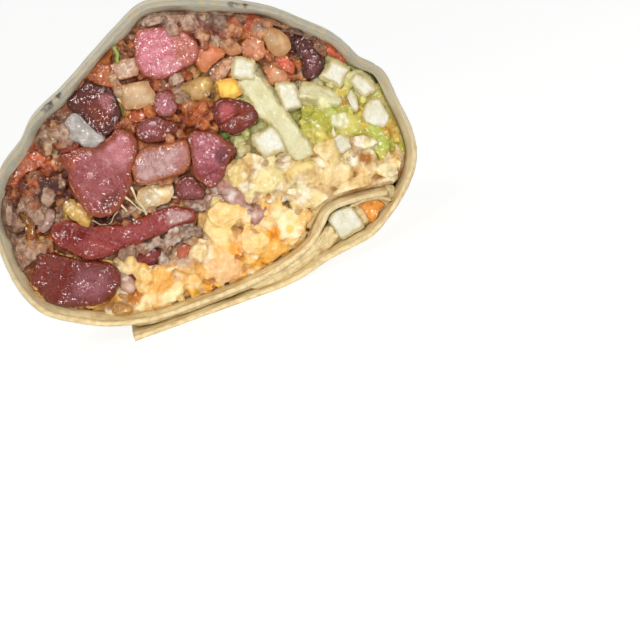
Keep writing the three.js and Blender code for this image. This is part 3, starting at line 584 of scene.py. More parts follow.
@dataclass(frozen=True)
class FoodFinish:
    """A moist cooked food: a mottled, slightly translucent body under a thin film of juice or oil.

    Sizes are in millimetres. `flecks` is the share of the surface that the fleck colour covers.
    Without a `ground` colour, each point keeps the tint that its mesh stores.
    """

    name: str
    slot: str
    second: str
    fleck: str
    ground: str | None = None
    mottle_size: float = 3.0
    mottle_share: float = 0.5
    fleck_size: float = 0.8
    flecks: float = 0.25
    # The valley colour fills the relief's valleys and the crevices between curds and pieces: painted shade,
    # with the juice that gathers there.
    valley: str | None = None
    valley_share: float = 0.8
    roughness: float = 0.42
    film: float = 0.5
    film_roughness: float = 0.16
    bead_size: float = 1.0
    bead_depth: float = 0.03
    shine: float = 0.2
    streaks: float = 0.0
    streak_size: float = 0.5
    wet_size: float = 2.4
    subsurface: float = 0.18
    glow: tuple[float, float, float] = (1.0, 0.45, 0.3)
    glow_depth: float = 1.2
    grain_size: float = 0.7
    grain_depth: float = 0.16
    pit_size: float = 1.6
    pit_depth: float = 0.22

    def build(self) -> bpy.types.Material:
        """Builds the material.

        Returns:
            The finished material.
        """
        material, tree = new_material(self.name)
        place = add_node(tree, "ShaderNodeTexCoord").outputs["Object"]
        clouds = {}
        for name, size, detail, rough, bent in (
            ("mottle", self.mottle_size, 4.0, 0.6, 0.0), ("speck", self.fleck_size, 2.0, 0.55, 0.6),
            ("wetness", self.wet_size, 3.0, 0.5, 0.0), ("beads", self.bead_size, 2.0, 0.5, 0.0),
            ("grain", self.grain_size, 3.0, 0.6, 0.0),
        ):
            links = {
                "Vector": place, "Scale": 1 / (size * MM), "Detail": detail, "Roughness": rough,
                "Distortion": bent,
            }
            clouds[name] = add_node(tree, "ShaderNodeTexNoise", links=links).outputs[0]
        edge = 0.72 - 0.3 * self.flecks
        over_tint = "MIX" if self.ground else "MULTIPLY"
        layers = [
            (clouds["mottle"], 0.36, 0.64, self.mottle_share, self.second, over_tint),
            (clouds["speck"], edge - 0.05, edge + 0.07, 0.85, self.fleck, "MIX"),
        ]
        # The valley colour is laid where the stored height is low: painted shade, with gathered juice, in the
        # relief's valleys and a filling's crevices.
        if self.valley:
            height = add_node(tree, "ShaderNodeAttribute", {"attribute_name": "height"}).outputs["Fac"]
            layers.append((height, 0.02, -0.3, self.valley_share, self.valley, "MIX"))
        if self.ground:
            colour = linear(self.ground)
        else:
            colour = add_node(tree, "ShaderNodeAttribute", {"attribute_name": "tint"}).outputs["Color"]
        for value, low, high, most, over, mode in layers:
            share = add_node(tree, "ShaderNodeMapRange", links={0: value, 1: low, 2: high, 4: most})
            colour = add_node(
                tree, "ShaderNodeMix", {"data_type": "RGBA", "blend_type": mode},
                {"Factor": share.outputs[0], 6: colour, 7: linear(over)},
            ).outputs[2]
        wet, dry = self.roughness * 0.6, min(1.0, self.roughness * 1.4)
        roughness = add_node(
            tree, "ShaderNodeMapRange", links={0: clouds["wetness"], 1: 0.35, 2: 0.65, 3: wet, 4: dry},
        )
        beads = {"Strength": 1.0, "Distance": self.bead_depth * MM, "Height": clouds["beads"]}
        shader = add_node(
            tree, "ShaderNodeBsdfPrincipled",
            links={
                "Base Color": colour, "Roughness": roughness.outputs[0], "Specular IOR Level": self.shine,
                "Normal": self._relief(tree, place, clouds),
                "Coat Normal": add_node(tree, "ShaderNodeBump", links=beads).outputs[0],
                "Subsurface Weight": self.subsurface, "Subsurface Radius": self.glow,
                "Subsurface Scale": self.glow_depth * MM, "Coat Weight": self.film,
                "Coat Roughness": self.film_roughness, "Coat IOR": 1.36,
            },
        )
        add_node(tree, "ShaderNodeOutputMaterial", links={"Surface": shader.outputs[0]})
        return material

    def _relief(self, tree: Tree, place: Socket, clouds: dict[str, Socket]) -> Socket:
        """Adds the grain, pits and streaks that are too fine for the mesh.

        Args:
            tree: the material's tree.
            place: the object coordinates.
            clouds: the noises, of which the flecks' one stands a little proud.

        Returns:
            The bent normal.
        """
        pits = add_node(
            tree, "ShaderNodeTexVoronoi", {"feature": "SMOOTH_F1"},
            {"Vector": place, "Scale": 1 / (self.pit_size * MM), "Smoothness": 0.6},
        )
        proud = add_node(
            tree, "ShaderNodeMath", {"operation": "SUBTRACT"},
            {0: clouds["speck"], 1: pits.outputs["Distance"]},
        )
        layers = [(clouds["grain"], self.grain_depth, 1.0), (proud.outputs[0], self.pit_depth, 0.8)]
        if self.streaks:
            drawn = add_node(
                tree, "ShaderNodeVectorMath", {"operation": "MULTIPLY"}, {0: place, 1: (1.0, 1.0, 0.5)},
            )
            lines = add_node(
                tree, "ShaderNodeTexNoise",
                links={
                    "Vector": drawn.outputs[0], "Scale": 1 / (self.streak_size * MM), "Detail": 2.0,
                    "Distortion": 0.5,
                },
            )
            layers.append((lines.outputs[0], self.streaks, 1.0))
        normal = None
        for height, depth, strength in layers:
            links = {"Strength": strength, "Distance": depth * MM, "Height": height, "Normal": normal}
            normal = add_node(tree, "ShaderNodeBump", links=links).outputs[0]
        return normal


@dataclass(frozen=True)
class TortillaFinish:
    """A griddled wheat-flour tortilla: dry and floury outside with toasted blisters, oily and tan
    inside and greyer towards the top, and a pale cut edge with painted shade that greys its top."""

    name: str = "flour_tortilla"
    slot: str = "tortilla"
    outside: str = "#DCD1B4"
    outside_cool: str = "#C4BBA2"
    # The first dough colour greys the top of the cut edge as painted shade; the low one is the edge's own
    # pale colour lower down.
    dough: str = "#95978C"
    dough_low: str = "#E6D09C"
    crust_line: str = "#A07A44"
    # The inside's upper colour is greyer than the oily tan lower down; the lower share blends them by height.
    inside_dry: str = "#CBC4AC"
    inside: str = "#D8C492"
    inside_oily: str = "#BE9C64"
    toast: str = "#B07E48"
    scorch: str = "#7C5028"
    char: str = "#3A2A1C"
    blister_size: float = 9.0
    flour_size: float = 1.1
    roughness: float = 0.62

    def build(self) -> bpy.types.Material:
        """Builds the material.

        Returns:
            The finished material.
        """
        material, tree = new_material(self.name)
        place = add_node(tree, "ShaderNodeTexCoord").outputs["Object"]
        values = {}
        for name, output in (("inside", "Fac"), ("edge", "Fac"), ("burn", "Fac"), ("drawn", "Vector")):
            stored_values = add_node(tree, "ShaderNodeAttribute", {"attribute_name": name})
            values[name] = stored_values.outputs[output]
        values["height"] = add_node(tree, "ShaderNodeSeparateXYZ", links={0: place}).outputs[2]
        for name, at, scale, detail in (
            ("floury", place, 1 / (14.0 * MM), 3.0), ("blistered", place, 1 / (self.blister_size * MM), 4.0),
            ("oily", place, 1 / (6.0 * MM), 3.0), ("crumbed", place, 1 / (1.6 * MM), 4.0),
            ("sooty", place, 1 / (1.4 * MM), 3.0), ("fine", place, 1 / (self.flour_size * MM), 3.0),
            ("wavy", place, 1 / (4.5 * MM), 3.0), ("layered", values["drawn"], 1.5, 3.0),
        ):
            links = {"Vector": at, "Scale": scale, "Detail": detail, "Roughness": 0.6}
            values[name] = add_node(tree, "ShaderNodeTexNoise", links=links).outputs[0]
        # The lower share runs from 0 at the top to 1 lower down. It fades out the painted shade at the top of
        # the cut edge and the inside's greyer upper colour.
        for name, value, low, high, most in (
            ("cool", "floury", 0.38, 0.62, 0.8), ("toasted", "blistered", 0.56, 0.66, 0.6),
            ("scorched", "blistered", 0.66, 0.74, 0.7), ("greasy", "oily", 0.4, 0.66, 0.9),
            ("lower", "height", 42 * MM, 8 * MM, 1.0), ("crumbs", "crumbed", 0.42, 0.62, 0.55),
            ("lines", "layered", 0.54, 0.68, 0.6),
        ):
            links = {0: values[value], 1: low, 2: high, 4: most}
            values[name] = add_node(tree, "ShaderNodeMapRange", links=links).outputs[0]
        for name, operation, first, second in (
            ("cut", "MAXIMUM", "edge", "inside"), ("seen", "MULTIPLY", "cut", "lower"),
            ("lined", "MULTIPLY", "lines", "seen"), ("burnt", "MULTIPLY", "burn", "sooty"),
        ):
            links = {0: values[first], 1: values[second]}
            values[name] = add_node(tree, "ShaderNodeMath", {"operation": operation}, links).outputs[0]
        values["charred"] = add_node(
            tree, "ShaderNodeMapRange", links={0: values["burnt"], 1: 0.3, 2: 0.5, 4: 0.9},
        ).outputs[0]
        colours = {name: linear(code) for name, code in vars(self).items() if str(code).startswith("#")}
        # The cut edge mixes from its painted-shade grey at the top to its pale colour lower down.
        for name, share, under, over in (
            ("floury", "cool", "outside", "outside_cool"), ("toasted", "toasted", "floury", "toast"),
            ("scorched", "scorched", "toasted", "scorch"), ("greased", "greasy", "inside", "inside_oily"),
            ("inner", "lower", "inside_dry", "greased"), ("sides", "inside", "scorched", "inner"),
            ("doughy", "lower", "dough", "dough_low"), ("crumbed", "crumbs", "doughy", "inside_oily"),
            ("edged", "edge", "sides", "crumbed"), ("lined", "lined", "edged", "crust_line"),
            ("charred", "charred", "lined", "char"),
        ):
            links = {"Factor": values[share], 6: colours[under], 7: colours[over]}
            colours[name] = add_node(tree, "ShaderNodeMix", {"data_type": "RGBA"}, links).outputs[2]
        normal = None
        for name, depth, strength in (
            ("fine", 0.12, 0.7), ("layered", -0.12, values["seen"]), ("wavy", 0.5, 0.8),
        ):
            links = {"Strength": strength, "Distance": depth * MM, "Height": values[name], "Normal": normal}
            normal = add_node(tree, "ShaderNodeBump", links=links).outputs[0]
        shader = add_node(
            tree, "ShaderNodeBsdfPrincipled",
            links={
                "Base Color": colours["charred"], "Roughness": self.roughness, "Normal": normal,
                "Subsurface Weight": 0.12, "Subsurface Radius": (1.0, 0.75, 0.5),
                "Subsurface Scale": 1.5 * MM,
            },
        )
        add_node(tree, "ShaderNodeOutputMaterial", links={"Surface": shader.outputs[0]})
        return material


# Smoked sausage, knife-cut and juicy: fine emulsion with pale fat flecks under a wet film.
SAUSAGE = FoodFinish(
    "smoked_sausage", "sausage", second="#D8A89C", fleck="#C88E86", mottle_size=1.8, mottle_share=0.7,
    fleck_size=0.9, flecks=0.05, roughness=0.34, film=1.0, film_roughness=0.13, bead_size=0.8,
    bead_depth=0.15, subsurface=0.16, glow=(1.0, 0.35, 0.25), grain_size=0.26, grain_depth=0.38, pit_size=0.7,
    pit_depth=0.5, streaks=0.3,
)
# The mix between the large pieces: beef, salsa and rendered fat run together.
MEAT_BED = FoodFinish(
    "meat_and_salsa", "beef", second="#B4805E", fleck="#D0AA88", mottle_size=1.6, mottle_share=0.8,
    valley="#521E12", valley_share=0.6, roughness=0.36, film=0.6, subsurface=0.1, grain_size=0.5,
    grain_depth=0.3, pit_size=1.1, pit_depth=0.45,
)
# Fresh tomato, diced: wet translucent flesh.
TOMATO = FoodFinish(
    "diced_tomato", "tomato", second="#E8B090", fleck="#F0B890", mottle_size=2.2, flecks=0.2, roughness=0.28,
    film=0.8, film_roughness=0.1, subsurface=0.35, glow_depth=1.8, grain_depth=0.08,
)
# Onion softened in fat: glassy and layered.
ONION = FoodFinish(
    "softened_onion", "onion", second="#E6D2C0", fleck="#E8D8C0", mottle_size=2.6, fleck_size=1.0,
    flecks=0.15, roughness=0.28, film=0.7, film_roughness=0.12, subsurface=0.4, glow=(1.0, 0.8, 0.6),
    glow_depth=2.0, grain_depth=0.06, pit_depth=0.14,
)
# Thin-cut fries gone soft: mealy white ends, pale sides.
FRY = FoodFinish(
    "steamed_fry", "fry", second="#F1EBD6", fleck="#F4EFDA", mottle_size=2.6, mottle_share=0.9,
    fleck_size=1.2, flecks=0.1, film=0.35, film_roughness=0.2, subsurface=0.3, glow=(1.0, 0.9, 0.65),
    grain_size=0.5, grain_depth=0.26, pit_depth=0.35,
)
# Potato crushed in cream: curdy, pale and greasy.
POTATO = FoodFinish(
    "potato_in_cream", "potato", second="#F4E4C4", fleck="#FBEFD2", mottle_size=3.2, mottle_share=0.6,
    fleck_size=1.1, valley="#9C682A", valley_share=0.7, roughness=0.46, film=0.3, subsurface=0.25,
    glow=(1.0, 0.9, 0.6), glow_depth=1.6, grain_size=0.8,
)
# Potato and cheese griddled together: golden, crusted at its edges.
CHEESY = FoodFinish(
    "cheesy_potato", "cheesy", second="#FBEAC4", fleck="#FBE8BC", mottle_size=2.6, mottle_share=0.6,
    fleck_size=0.9, valley="#C88A3C", valley_share=0.55, roughness=0.44, film=0.3, subsurface=0.25,
    glow=(1.0, 0.7, 0.35), glow_depth=1.6, grain_size=0.6,
)
# Mashed avocado: buttery, with lumps that stay lighter; its valley colour is painted shade between them, with
# gathered juice.
GUACAMOLE = FoodFinish(
    "mashed_avocado", "guacamole", second="#EAE2A0", fleck="#F0EEC0", mottle_size=1.8, mottle_share=0.6,
    fleck_size=0.9, valley="#8C8C30", valley_share=0.6, roughness=0.3, flecks=0.34, subsurface=0.25,
    glow=(1.0, 1.0, 0.4), glow_depth=1.4, grain_size=0.8, grain_depth=0.14,
)
# Melted cheese: smooth, elastic and oily.
CHEESE = FoodFinish(
    "melted_cheese", "cheese", second="#F0D79A", fleck="#F6E6B8", mottle_size=2.4, mottle_share=0.4,
    fleck_size=1.2, flecks=0.1, roughness=0.24, film=0.7, film_roughness=0.1, subsurface=0.35,
    glow=(1.0, 0.7, 0.3), glow_depth=1.8, grain_depth=0.05, pit_depth=0.12,
)
# Sour cream with cooking juice stirred in.
CREAM = FoodFinish(
    "soured_cream", "cream", second="#E8DCD2", fleck="#8A4A3C", mottle_size=2.4, fleck_size=1.4, flecks=0.05,
    roughness=0.26, film=0.6, subsurface=0.3, glow=(1.0, 0.8, 0.7), glow_depth=1.4, grain_depth=0.06,
    pit_depth=0.16,
)
# Coriander leaf, wilted and wet.
LEAF = FoodFinish(
    "wilted_coriander", "guacamole", ground="#3F5A22", second="#6E8C34", fleck="#8FA84A", mottle_size=1.4,
    fleck_size=0.6, flecks=0.1, roughness=0.34, film=0.4, subsurface=0.1, glow=(0.5, 1.0, 0.3),
    grain_depth=0.05,
)
# Coriander stem: bright, juicy and ribbed.
STEM = FoodFinish(
    "coriander_stem", "guacamole", ground="#7E9238", second="#A2B05C", fleck="#D2D890", mottle_size=1.4,
    fleck_size=0.6, flecks=0.1, roughness=0.3, subsurface=0.25, glow=(0.6, 1.0, 0.3), grain_depth=0.05,
)


Finish = FoodFinish | TortillaFinish


@cache
def material_of(finish: Finish) -> bpy.types.Material:
    """Gives a finish's material, which is built on its first use."""
    return finish.build()


# ==== The kitchen: what every sub-assembly needs ====


@dataclass(frozen=True)
class Relief:
    """How far a surface rises and falls, and over what widths, in millimetres."""

    swell: float = 0.4
    swell_size: float = 4.0
    lump: float = 0.0
    lump_size: float = 2.0
    grain: float = 0.12
    grain_size: float = 0.9
    seed: float = 1.0


@dataclass(frozen=True)
class Crease:
    """A fold or a slit in a cut face: a line across it that lies lower, in millimetres."""

    start: tuple[float, float]
    end: tuple[float, float]
    width: float
    depth: float


@dataclass
class Kitchen:
    """The node trees and the wall that the sub-assemblies share, and what they have made.

    The ragged sides of a cut piece are swells, each a share and a width, and saw marks are a depth
    and a width. Widths and depths are in millimetres.
    """

    relief_tree: ReliefTree = field(default_factory=ReliefTree)
    scatter_tree: ScatterTree = field(default_factory=ScatterTree)
    made: list[Piece] = field(default_factory=list)
    wall: KDTree | None = None
    wall_outward: Array | None = None
    band: float = 1.5
    band_depth: float = 4.0
    inset: float = 0.6
    raggedness: tuple[tuple[float, float], ...] = ((1.0, 4.6), (0.3, 1.7))
    saw_marks: tuple[float, float] = (0.14, 2.6)

    def raise_wall(self, line: Array, outward: Array) -> None:
        """Remembers where the wrap's sheet runs.

        Args:
            line: the sheet's middle line, in millimetres of X and Z.
            outward: its outward directions.
        """
        self.wall = tree_of([(x * MM, 0.0, z * MM) for x, z in line])
        self.wall_outward = outward

    def _nearest_wall(self, points: Array) -> tuple[Array, Array, Array]:
        """Finds the place on the sheet that is nearest to each point.

        Args:
            points: one row of coordinates each, in metres.

        Returns:
            Each place's number, its outward direction, and the way from there to the point in metres.
        """
        found = [self.wall.find((x, 0.0, z))[:2] for x, _, z in points]
        numbers = np.array([number for _, number in found])
        away = points[:, (0, 2)] - np.array([(place[0], place[2]) for place, _ in found])
        return numbers, self.wall_outward[numbers], away

    def along_sheet(self, points: Array, squeeze: float = 0.12) -> Array:
        """Measures each point against the sheet: along it, across it and behind the rim.

        Args:
            points: one row of coordinates each, in metres.
            squeeze: how far the first measure is drawn together, so that a pattern runs along the sheet.

        Returns:
            Three measures in millimetres for each point.
        """
        numbers, outward, way = self._nearest_wall(points)
        away = way / MM
        run = numbers + away[:, 0] * outward[:, 1] - away[:, 1] * outward[:, 0]
        across = np.sum(away * outward, axis=1)
        return np.stack([run * squeeze, across, behind_rim(points)], axis=1)

    def keep_inside(self, points: Array) -> Array:
        """Moves what pokes into the wrap back inside it, and off the sloping band at its rim.

        Args:
            points: one row of coordinates each, in metres.

        Returns:
            The points, inside the wrap.
        """
        _, outward, away = self._nearest_wall(points)
        from_rim = behind_rim(points)
        inset = self.inset + self.band * (1 - smoothstep(0.5, self.band_depth, from_rim))
        over = np.maximum(np.sum(away * outward, axis=1) + inset * MM, 0.0)
        over *= 1 - smoothstep(9.0, 12.0, from_rim)
        kept = points.copy()
        kept[:, (0, 2)] -= outward * over[:, None]
        return kept

    def soften(self, piece: Piece, voxel: float, smoothing: int, grow: float = 0.0) -> None:
        """Rounds off a faceted solid.

        Args:
            piece: the solid.
            voxel: the width of the new mesh's faces, in millimetres.
            smoothing: how many passes ease its edges.
            grow: how far the surface then moves outwards, in millimetres, to touch its neighbours.
        """
        remesh = piece.modifiers.new("even_mesh", "REMESH")
        remesh.mode = "VOXEL"
        remesh.voxel_size = voxel * MM
        remesh.use_smooth_shade = True
        ease = piece.modifiers.new("ease", "SMOOTH")
        ease.factor = 0.5
        ease.iterations = smoothing
        bake_modifiers(piece)
        move_points(piece.data, positions(piece.data) + normals(piece.data) * grow * MM)

    def carve(self, piece: Piece, relief: Relief, finish: Finish) -> None:
        """Gives a smooth piece its relief and its material.

        Args:
            piece: the piece.
            relief: its relief, whose fields are named as the tree's inputs.
            finish: its finish.
        """
        values = {name.replace("_", " ").title(): size * MM for name, size in vars(relief).items()}
        values |= {"Seed": relief.seed, "Material": material_of(finish)}
        run_tree(piece, self.relief_tree.tree, values)

    def cut(
        self, mesh: Mesh, trim: float, slope: tuple[float, float], creases: Sequence[Crease] = (),
        ragged: float = 0.0, walled: bool = True,
    ) -> None:
        """Flattens a piece's front along a knife's cut and presses its creases in.

        Args:
            mesh: the piece's mesh.
            trim: how much the knife takes off, in millimetres, which the piece then moves forward.
            slope: the cut's slope across and up.
            creases: the creases in the cut face.
            ragged: how far the piece's sides wander, in millimetres.
            walled: whether the wrap holds the piece in.
        """
        points = positions(mesh)
        ahead = np.clip(facing(mesh), 0, 1)
        low, high = points.min(axis=0), points.max(axis=0)
        seed = int(1e6 * high[0]) % 97
        for axis, shift in ((0, 3), (2, 8)):
            for share, size in self.raggedness:
                points[:, axis] += ragged * share * MM * ripple(points, size * MM, seed + shift)
        across = points[:, 0] - (low[0] + high[0]) / 2
        up = points[:, 2] - (low[2] + high[2]) / 2
        depth, size = self.saw_marks
        uneven = depth * MM * ripple(points * (1, 0, 1), size * MM, seed)
        plane = low[1] + trim * MM + slope[0] * across + slope[1] * up + uneven
        points[:, 1] = np.maximum(points[:, 1], plane) - trim * MM
        for crease in creases:
            start = np.array(crease.start) * MM
            along = np.array(crease.end) * MM - start
            share = np.clip((points[:, (0, 2)] - start) @ along / (along @ along), 0, 1)
            away = np.linalg.norm(points[:, (0, 2)] - start - share[:, None] * along, axis=1)
            sunk = np.exp(-((away / (crease.width * MM)) ** 2)) * ahead
            points[:, 1] += crease.depth * MM * sunk
        move_points(mesh, self.keep_inside(points) if walled else points)

    def covered(self, points: Array, cell: float = 0.6) -> Array:
        """Tells which points lie behind a single piece, seen from the front.

        Args:
            points: one row of coordinates each, in metres.
            cell: the width of the cells that are told apart, in millimetres.

        Returns:
            1 for each covered point and 0 for the others.
        """
        hidden: set[tuple[int, int]] = set()
        for piece in self.made:
            if piece.name.endswith(("_piece", "_sticks")):
                shown = positions(piece.data)[facing(piece.data) > 0.8]
                hidden.update(map(tuple, np.floor(shown[:, (0, 2)] / (cell * MM)).astype(int)))
        cells = map(tuple, np.floor(points[:, (0, 2)] / (cell * MM)).astype(int))
        return np.array([float(place in hidden) for place in cells])

    def serve(self, piece: Piece, slot: str, *nodes: str) -> None:
        """Hands a finished piece to the frame.

        Args:
            piece: the piece, in place.
            slot: the record's material slot; it is not used.
            nodes: the CAD nodes that it stands for.
        """
        piece.data.shade_smooth()
        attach(piece, BODY)
        if nodes:
            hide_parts(*nodes)
        self.made.append(piece)
        LOG.info("%s: %d faces", piece.name, len(piece.data.polygons))


def joined(name: str, parts: Sequence[Piece]) -> Piece:
    """Joins several objects into one.

    Args:
        name: the name of the result.
        parts: the objects, which are used up.

    Returns:
        The joined object.
    """
    with bpy.context.temp_override(
        active_object=parts[0], selected_editable_objects=list(parts), selected_objects=list(parts),
    ):
        bpy.ops.object.join()
    parts[0].name = name
    return parts[0]


def discard(*pieces: Piece) -> None:
    """Removes helper objects."""
    for piece in pieces:
        bpy.data.objects.remove(piece)


def box_object(low: Vector, high: Vector) -> Piece:
    """Makes a plain box, as a cutter.

    Args:
        low: its lowest corner.
        high: its highest corner.

    Returns:
        The box.
    """
    mesh = bpy.data.meshes.new("cutter")
    box = bmesh.new()
    bmesh.ops.create_cube(box, size=1.0)
    centre = (low + high) / 2
    size = high - low
    box.transform(Matrix.Translation(centre) @ Matrix.Diagonal((*size, 1.0)))
    box.to_mesh(mesh)
    box.free()
    return add_object("cutter", mesh)


def split_front(node: str, depth: float) -> tuple[Piece, Piece]:
    """Parts a filling's CAD solid into its front, which gets fine relief, and the plain rest.

    Args:
        node: the CAD node.
        depth: how far behind the rim plane the cut lies, in millimetres.

    Returns:
        The front and the rest.
    """
    reach = 0.2
    overlap = 0.4 * MM
    halves = []
    for part, operation in (("front", "INTERSECT"), ("rest", "DIFFERENCE")):
        piece = cad_copy(f"{node}_{part}", node)
        behind = RIM_Y + depth * MM + (overlap if part == "front" else 0.0)
        cutter = box_object(Vector((-reach, -reach, -reach)), Vector((reach, behind, reach)))
        cut = piece.modifiers.new("cut", "BOOLEAN")
        cut.operation = operation
        cut.solver = "EXACT"
        cut.object = cutter
        bake_modifiers(piece)
        discard(cutter)
        halves.append(piece)
    return halves[0], halves[1]


# ==== The wrap ====


@dataclass
class Tortilla:
    """The rolled flour tortilla: one full turn with an overlap, gathered at the closed end.

    The route is the sheet's middle line across the cut, in millimetres of X and Z: from its inner
    end under the filling, up the left side, over the top, down the right side and back under as
    the outer layer, which lies flat and ends loose.
    """

    route: tuple[tuple[float, float], ...] = (
        (38.6, 12.9), (31.5, 13.8), (24.8, 13.5), (21.4, 10.8), (18, 7.8), (9, 4.9), (0, 3.9), (-10, 3.7),
        (-20, 3.9), (-30, 6), (-36.5, 9.1), (-43.3, 13.8), (-46.5, 20.3), (-47.4, 30.2), (-46.3, 38.8),
        (-42, 45.6), (-35.2, 50.3), (-31, 54.3), (-21.8, 58.6), (-13.8, 63), (-5.8, 67.2), (1, 69.9),
        (9.7, 67.9), (18.5, 64.4), (27.3, 59.6), (33.2, 54.5), (38.6, 49.3), (42.1, 42.8), (45.7, 38.8),
        (46.7, 32), (47.5, 23.2), (46.3, 17.7), (42.5, 12.6), (37.8, 8.7), (32, 5.3), (26, 4.3), (20, 3.4),
        (14.5, 1.9), (9, 1.1),
    )
    flap_end: float = -27.0
    thickness: float = 2.2
    edge_thickness: float = 1.15
    inner_slope: float = 3.6
    inner_swell: float = 0.7
    single_layer: tuple[float, float] = (0.19, 0.66)
    dome_y: float = 17.0
    dome_centre_z: float = 33.0
    bulge: float = 0.03
    taper: float = 0.04
    tuck: float = 0.985
    flare: float = 0.012
    flare_reach: float = 7.0
    step: float = 1.0
    samples: int = 40
    lip: float = 0.18
    thickness_waves: Waves = ((0.3, 41, 1.2), (0.22, 97, 0), (0.12, 211, 0))
    mouth_depth: float = 2.0
    mouth_back: float = 0.45
    mouth_waves: Waves = ((0.3, 18.85, 0.6), (0.15, 50.3, 0))
    relief: Relief = Relief(0.5, 16.0, 0.0, 6.0, 0.22, 3.0, 3.0)
    burns: tuple[Place, ...] = ((-27.5, 57.5, 2.6), (-24.5, 59, 2.0), (20.2, 65, 2.0), (22.6, 63.6, 1.6))
    finish: TortillaFinish = field(default_factory=TortillaFinish)

    def build(self, kitchen: Kitchen) -> None:
        """Makes the wrap and dresses it.

        Args:
            kitchen: what the sub-assemblies share.
        """
        line, outward = self._middle_line()
        kitchen.raise_wall(line, outward)
        rows = self._rows()
        turns = len(line)
        sides = [[self._ring(line, outward, inside, *row) for row in rows] for inside in (False, True)]
        outer, inner = np.array(sides)
        lip = (outer[0] + inner[0]) / 2
        lip[:, 1] -= self.lip
        strips = [*outer[::-1], lip, *inner]
        points = np.concatenate(strips) * MM
        faces = []
        for row in range(len(strips) - 1):
            for i in range(turns - 1):
                a = row * turns + i
                faces.append((a, a + 1, a + 1 + turns, a + turns))
        count = len(rows)
        for row in range(count - 1):
            for i in (0, turns - 1):
                front_outer = (count - 1 - row) * turns + i
                front_inner = (count + 1 + row) * turns + i
                faces.append((front_outer, front_outer - turns, front_inner + turns, front_inner))
        lips = [(count - 1) * turns + i for i in (0, turns - 1)]
        faces += [(place, place + turns, place + 2 * turns) for place in lips]
        mesh = bpy.data.meshes.new("tortilla_sheet")
        mesh.from_pydata([tuple(p) for p in points], [], faces)
        inside = np.concatenate([np.zeros(turns * count), np.full(turns, 0.5), np.ones(turns * count)])
        store(mesh, "inside", inside)
        merge_doubles(mesh, slivers=True)
        sheet = add_object("tortilla_wrap", mesh)
        kitchen.carve(sheet, self.relief, self.finish)
        self._mark(sheet.data)
        store(sheet.data, "drawn", kitchen.along_sheet(positions(sheet.data)))
        Pleats().build(kitchen, self.finish)
        kitchen.serve(sheet, self.finish.slot, "tortilla")

    def _middle_line(self) -> tuple[Array, Array]:
        """Samples the route evenly.

        Returns:
            Points of the sheet's middle line, and its outward directions, in X and Z.
        """
        knots = np.array(self.route)
        padded = np.vstack([2 * knots[0] - knots[1], knots, 2 * knots[-1] - knots[-2]])
        curved = [self._curve(padded[first : first + 4]) for first in range(len(padded) - 3)]
        start, height = knots[-1]
        flat = [(x, height) for x in np.arange(start, self.flap_end, -self.step)]
        line = np.vstack([*curved, flat, [(self.flap_end, height)]])
        line = resampled(line, int(travelled(line)[-1] / self.step) + 1)
        return line, outward_of(line)

    def _curve(self, corners: Array) -> Array:
        """Draws a centripetal curve between the middle two of four corners.

        Args:
            corners: the four corners.

        Returns:
            Points from the second corner up to just before the third.
        """
        gaps = np.sqrt(np.maximum(np.linalg.norm(np.diff(corners, axis=0), axis=1), 1e-4))
        times = np.concatenate([[0], np.cumsum(gaps)])
        t = np.linspace(times[1], times[2], self.samples, endpoint=False)[:, None]
        points = list(corners)
        for spans in (((0, 1), (1, 2), (2, 3)), ((0, 2), (1, 3)), ((1, 2),)):
            blended = []
            for (start, end), before, after in zip(spans, points, points[1:]):
                weighted = (times[end] - t) * before + (t - times[start]) * after
                blended.append(weighted / (times[end] - times[start]))
            points = blended
        return points[0]

    def _rows(self) -> list[tuple[float, float]]:
        """Lists each ring's depth and how far it is gathered, from the rim to the closed end.

        Returns:
            Pairs of a depth in millimetres and a share from 1, open, to 0, shut.
        """
        rows = [(y, 1.0) for y in (RIM, RIM + 0.35, RIM + 0.8, *np.arange(RIM + 1.6, self.dome_y, 1.6))]
        for w in np.sin(np.linspace(0, math.pi / 2, 26)):
            gather = (1 - (self.tuck * w) ** 2.3) ** (1 / 2.1)
            rows.append((self.dome_y + w * (END - self.dome_y), gather))
        last = rows[-1][1]
        return rows + [(END, last * share) for share in (0.75, 0.5, 0.25, 0.0)]

    def _ring(self, line: Array, outward: Array, inside: bool, y: float, gather: float) -> Array:
        """Places one ring of the sheet's outer or inner side.

        Args:
            line: the middle line.
            outward: its outward directions.
            inside: whether it is the inner side.
            y: the ring's depth, in millimetres.
            gather: how far the ring is gathered.

        Returns:
            The ring's points, in millimetres.
        """
        from_rim = y - RIM
        turn = np.linspace(0, 1, len(line))
        depth = self._thickness_at(from_rim, turn)
        flat = line + outward * (self.thickness / 2 - inside * depth)[:, None]
        along = np.clip(from_rim / (self.dome_y - RIM), 0, 1)
        scale = 1 + self.bulge * math.sin(math.pi * min(along * 1.25, 1)) - self.taper * along**2
        opened = 1 + self.flare * max(0.0, 1 - from_rim / self.flare_reach) ** 2
        w = np.clip((y - self.dome_y) / (END - self.dome_y), 0, 1)
        angle = np.arctan2(flat[:, 1] - self.dome_centre_z, flat[:, 0])
        crease = 1 + 0.035 * w * np.sin(5 * angle + 0.7) + 0.016 * w * np.sin(13 * angle + 2.2 * w)
        crease -= 0.014 * w * np.abs(np.sin(11 * angle + 1.3 * np.sin(3 * angle) + w))
        k = gather * crease
        centre = self.dome_centre_z * scale
        x = flat[:, 0] * scale * opened * k
        z = centre + (flat[:, 1] * scale - centre) * k
        front = max(0.0, 1 - from_rim / self.mouth_depth)
        wave = self.mouth_back + waves(turn, self.mouth_waves)
        fray = 0.24 * np.sin(turn * 310) * np.sin(turn * 131 + 1) + 0.12 * np.sin(turn * 733)
        return np.stack([x, y + front * (wave + fray), z], axis=1)

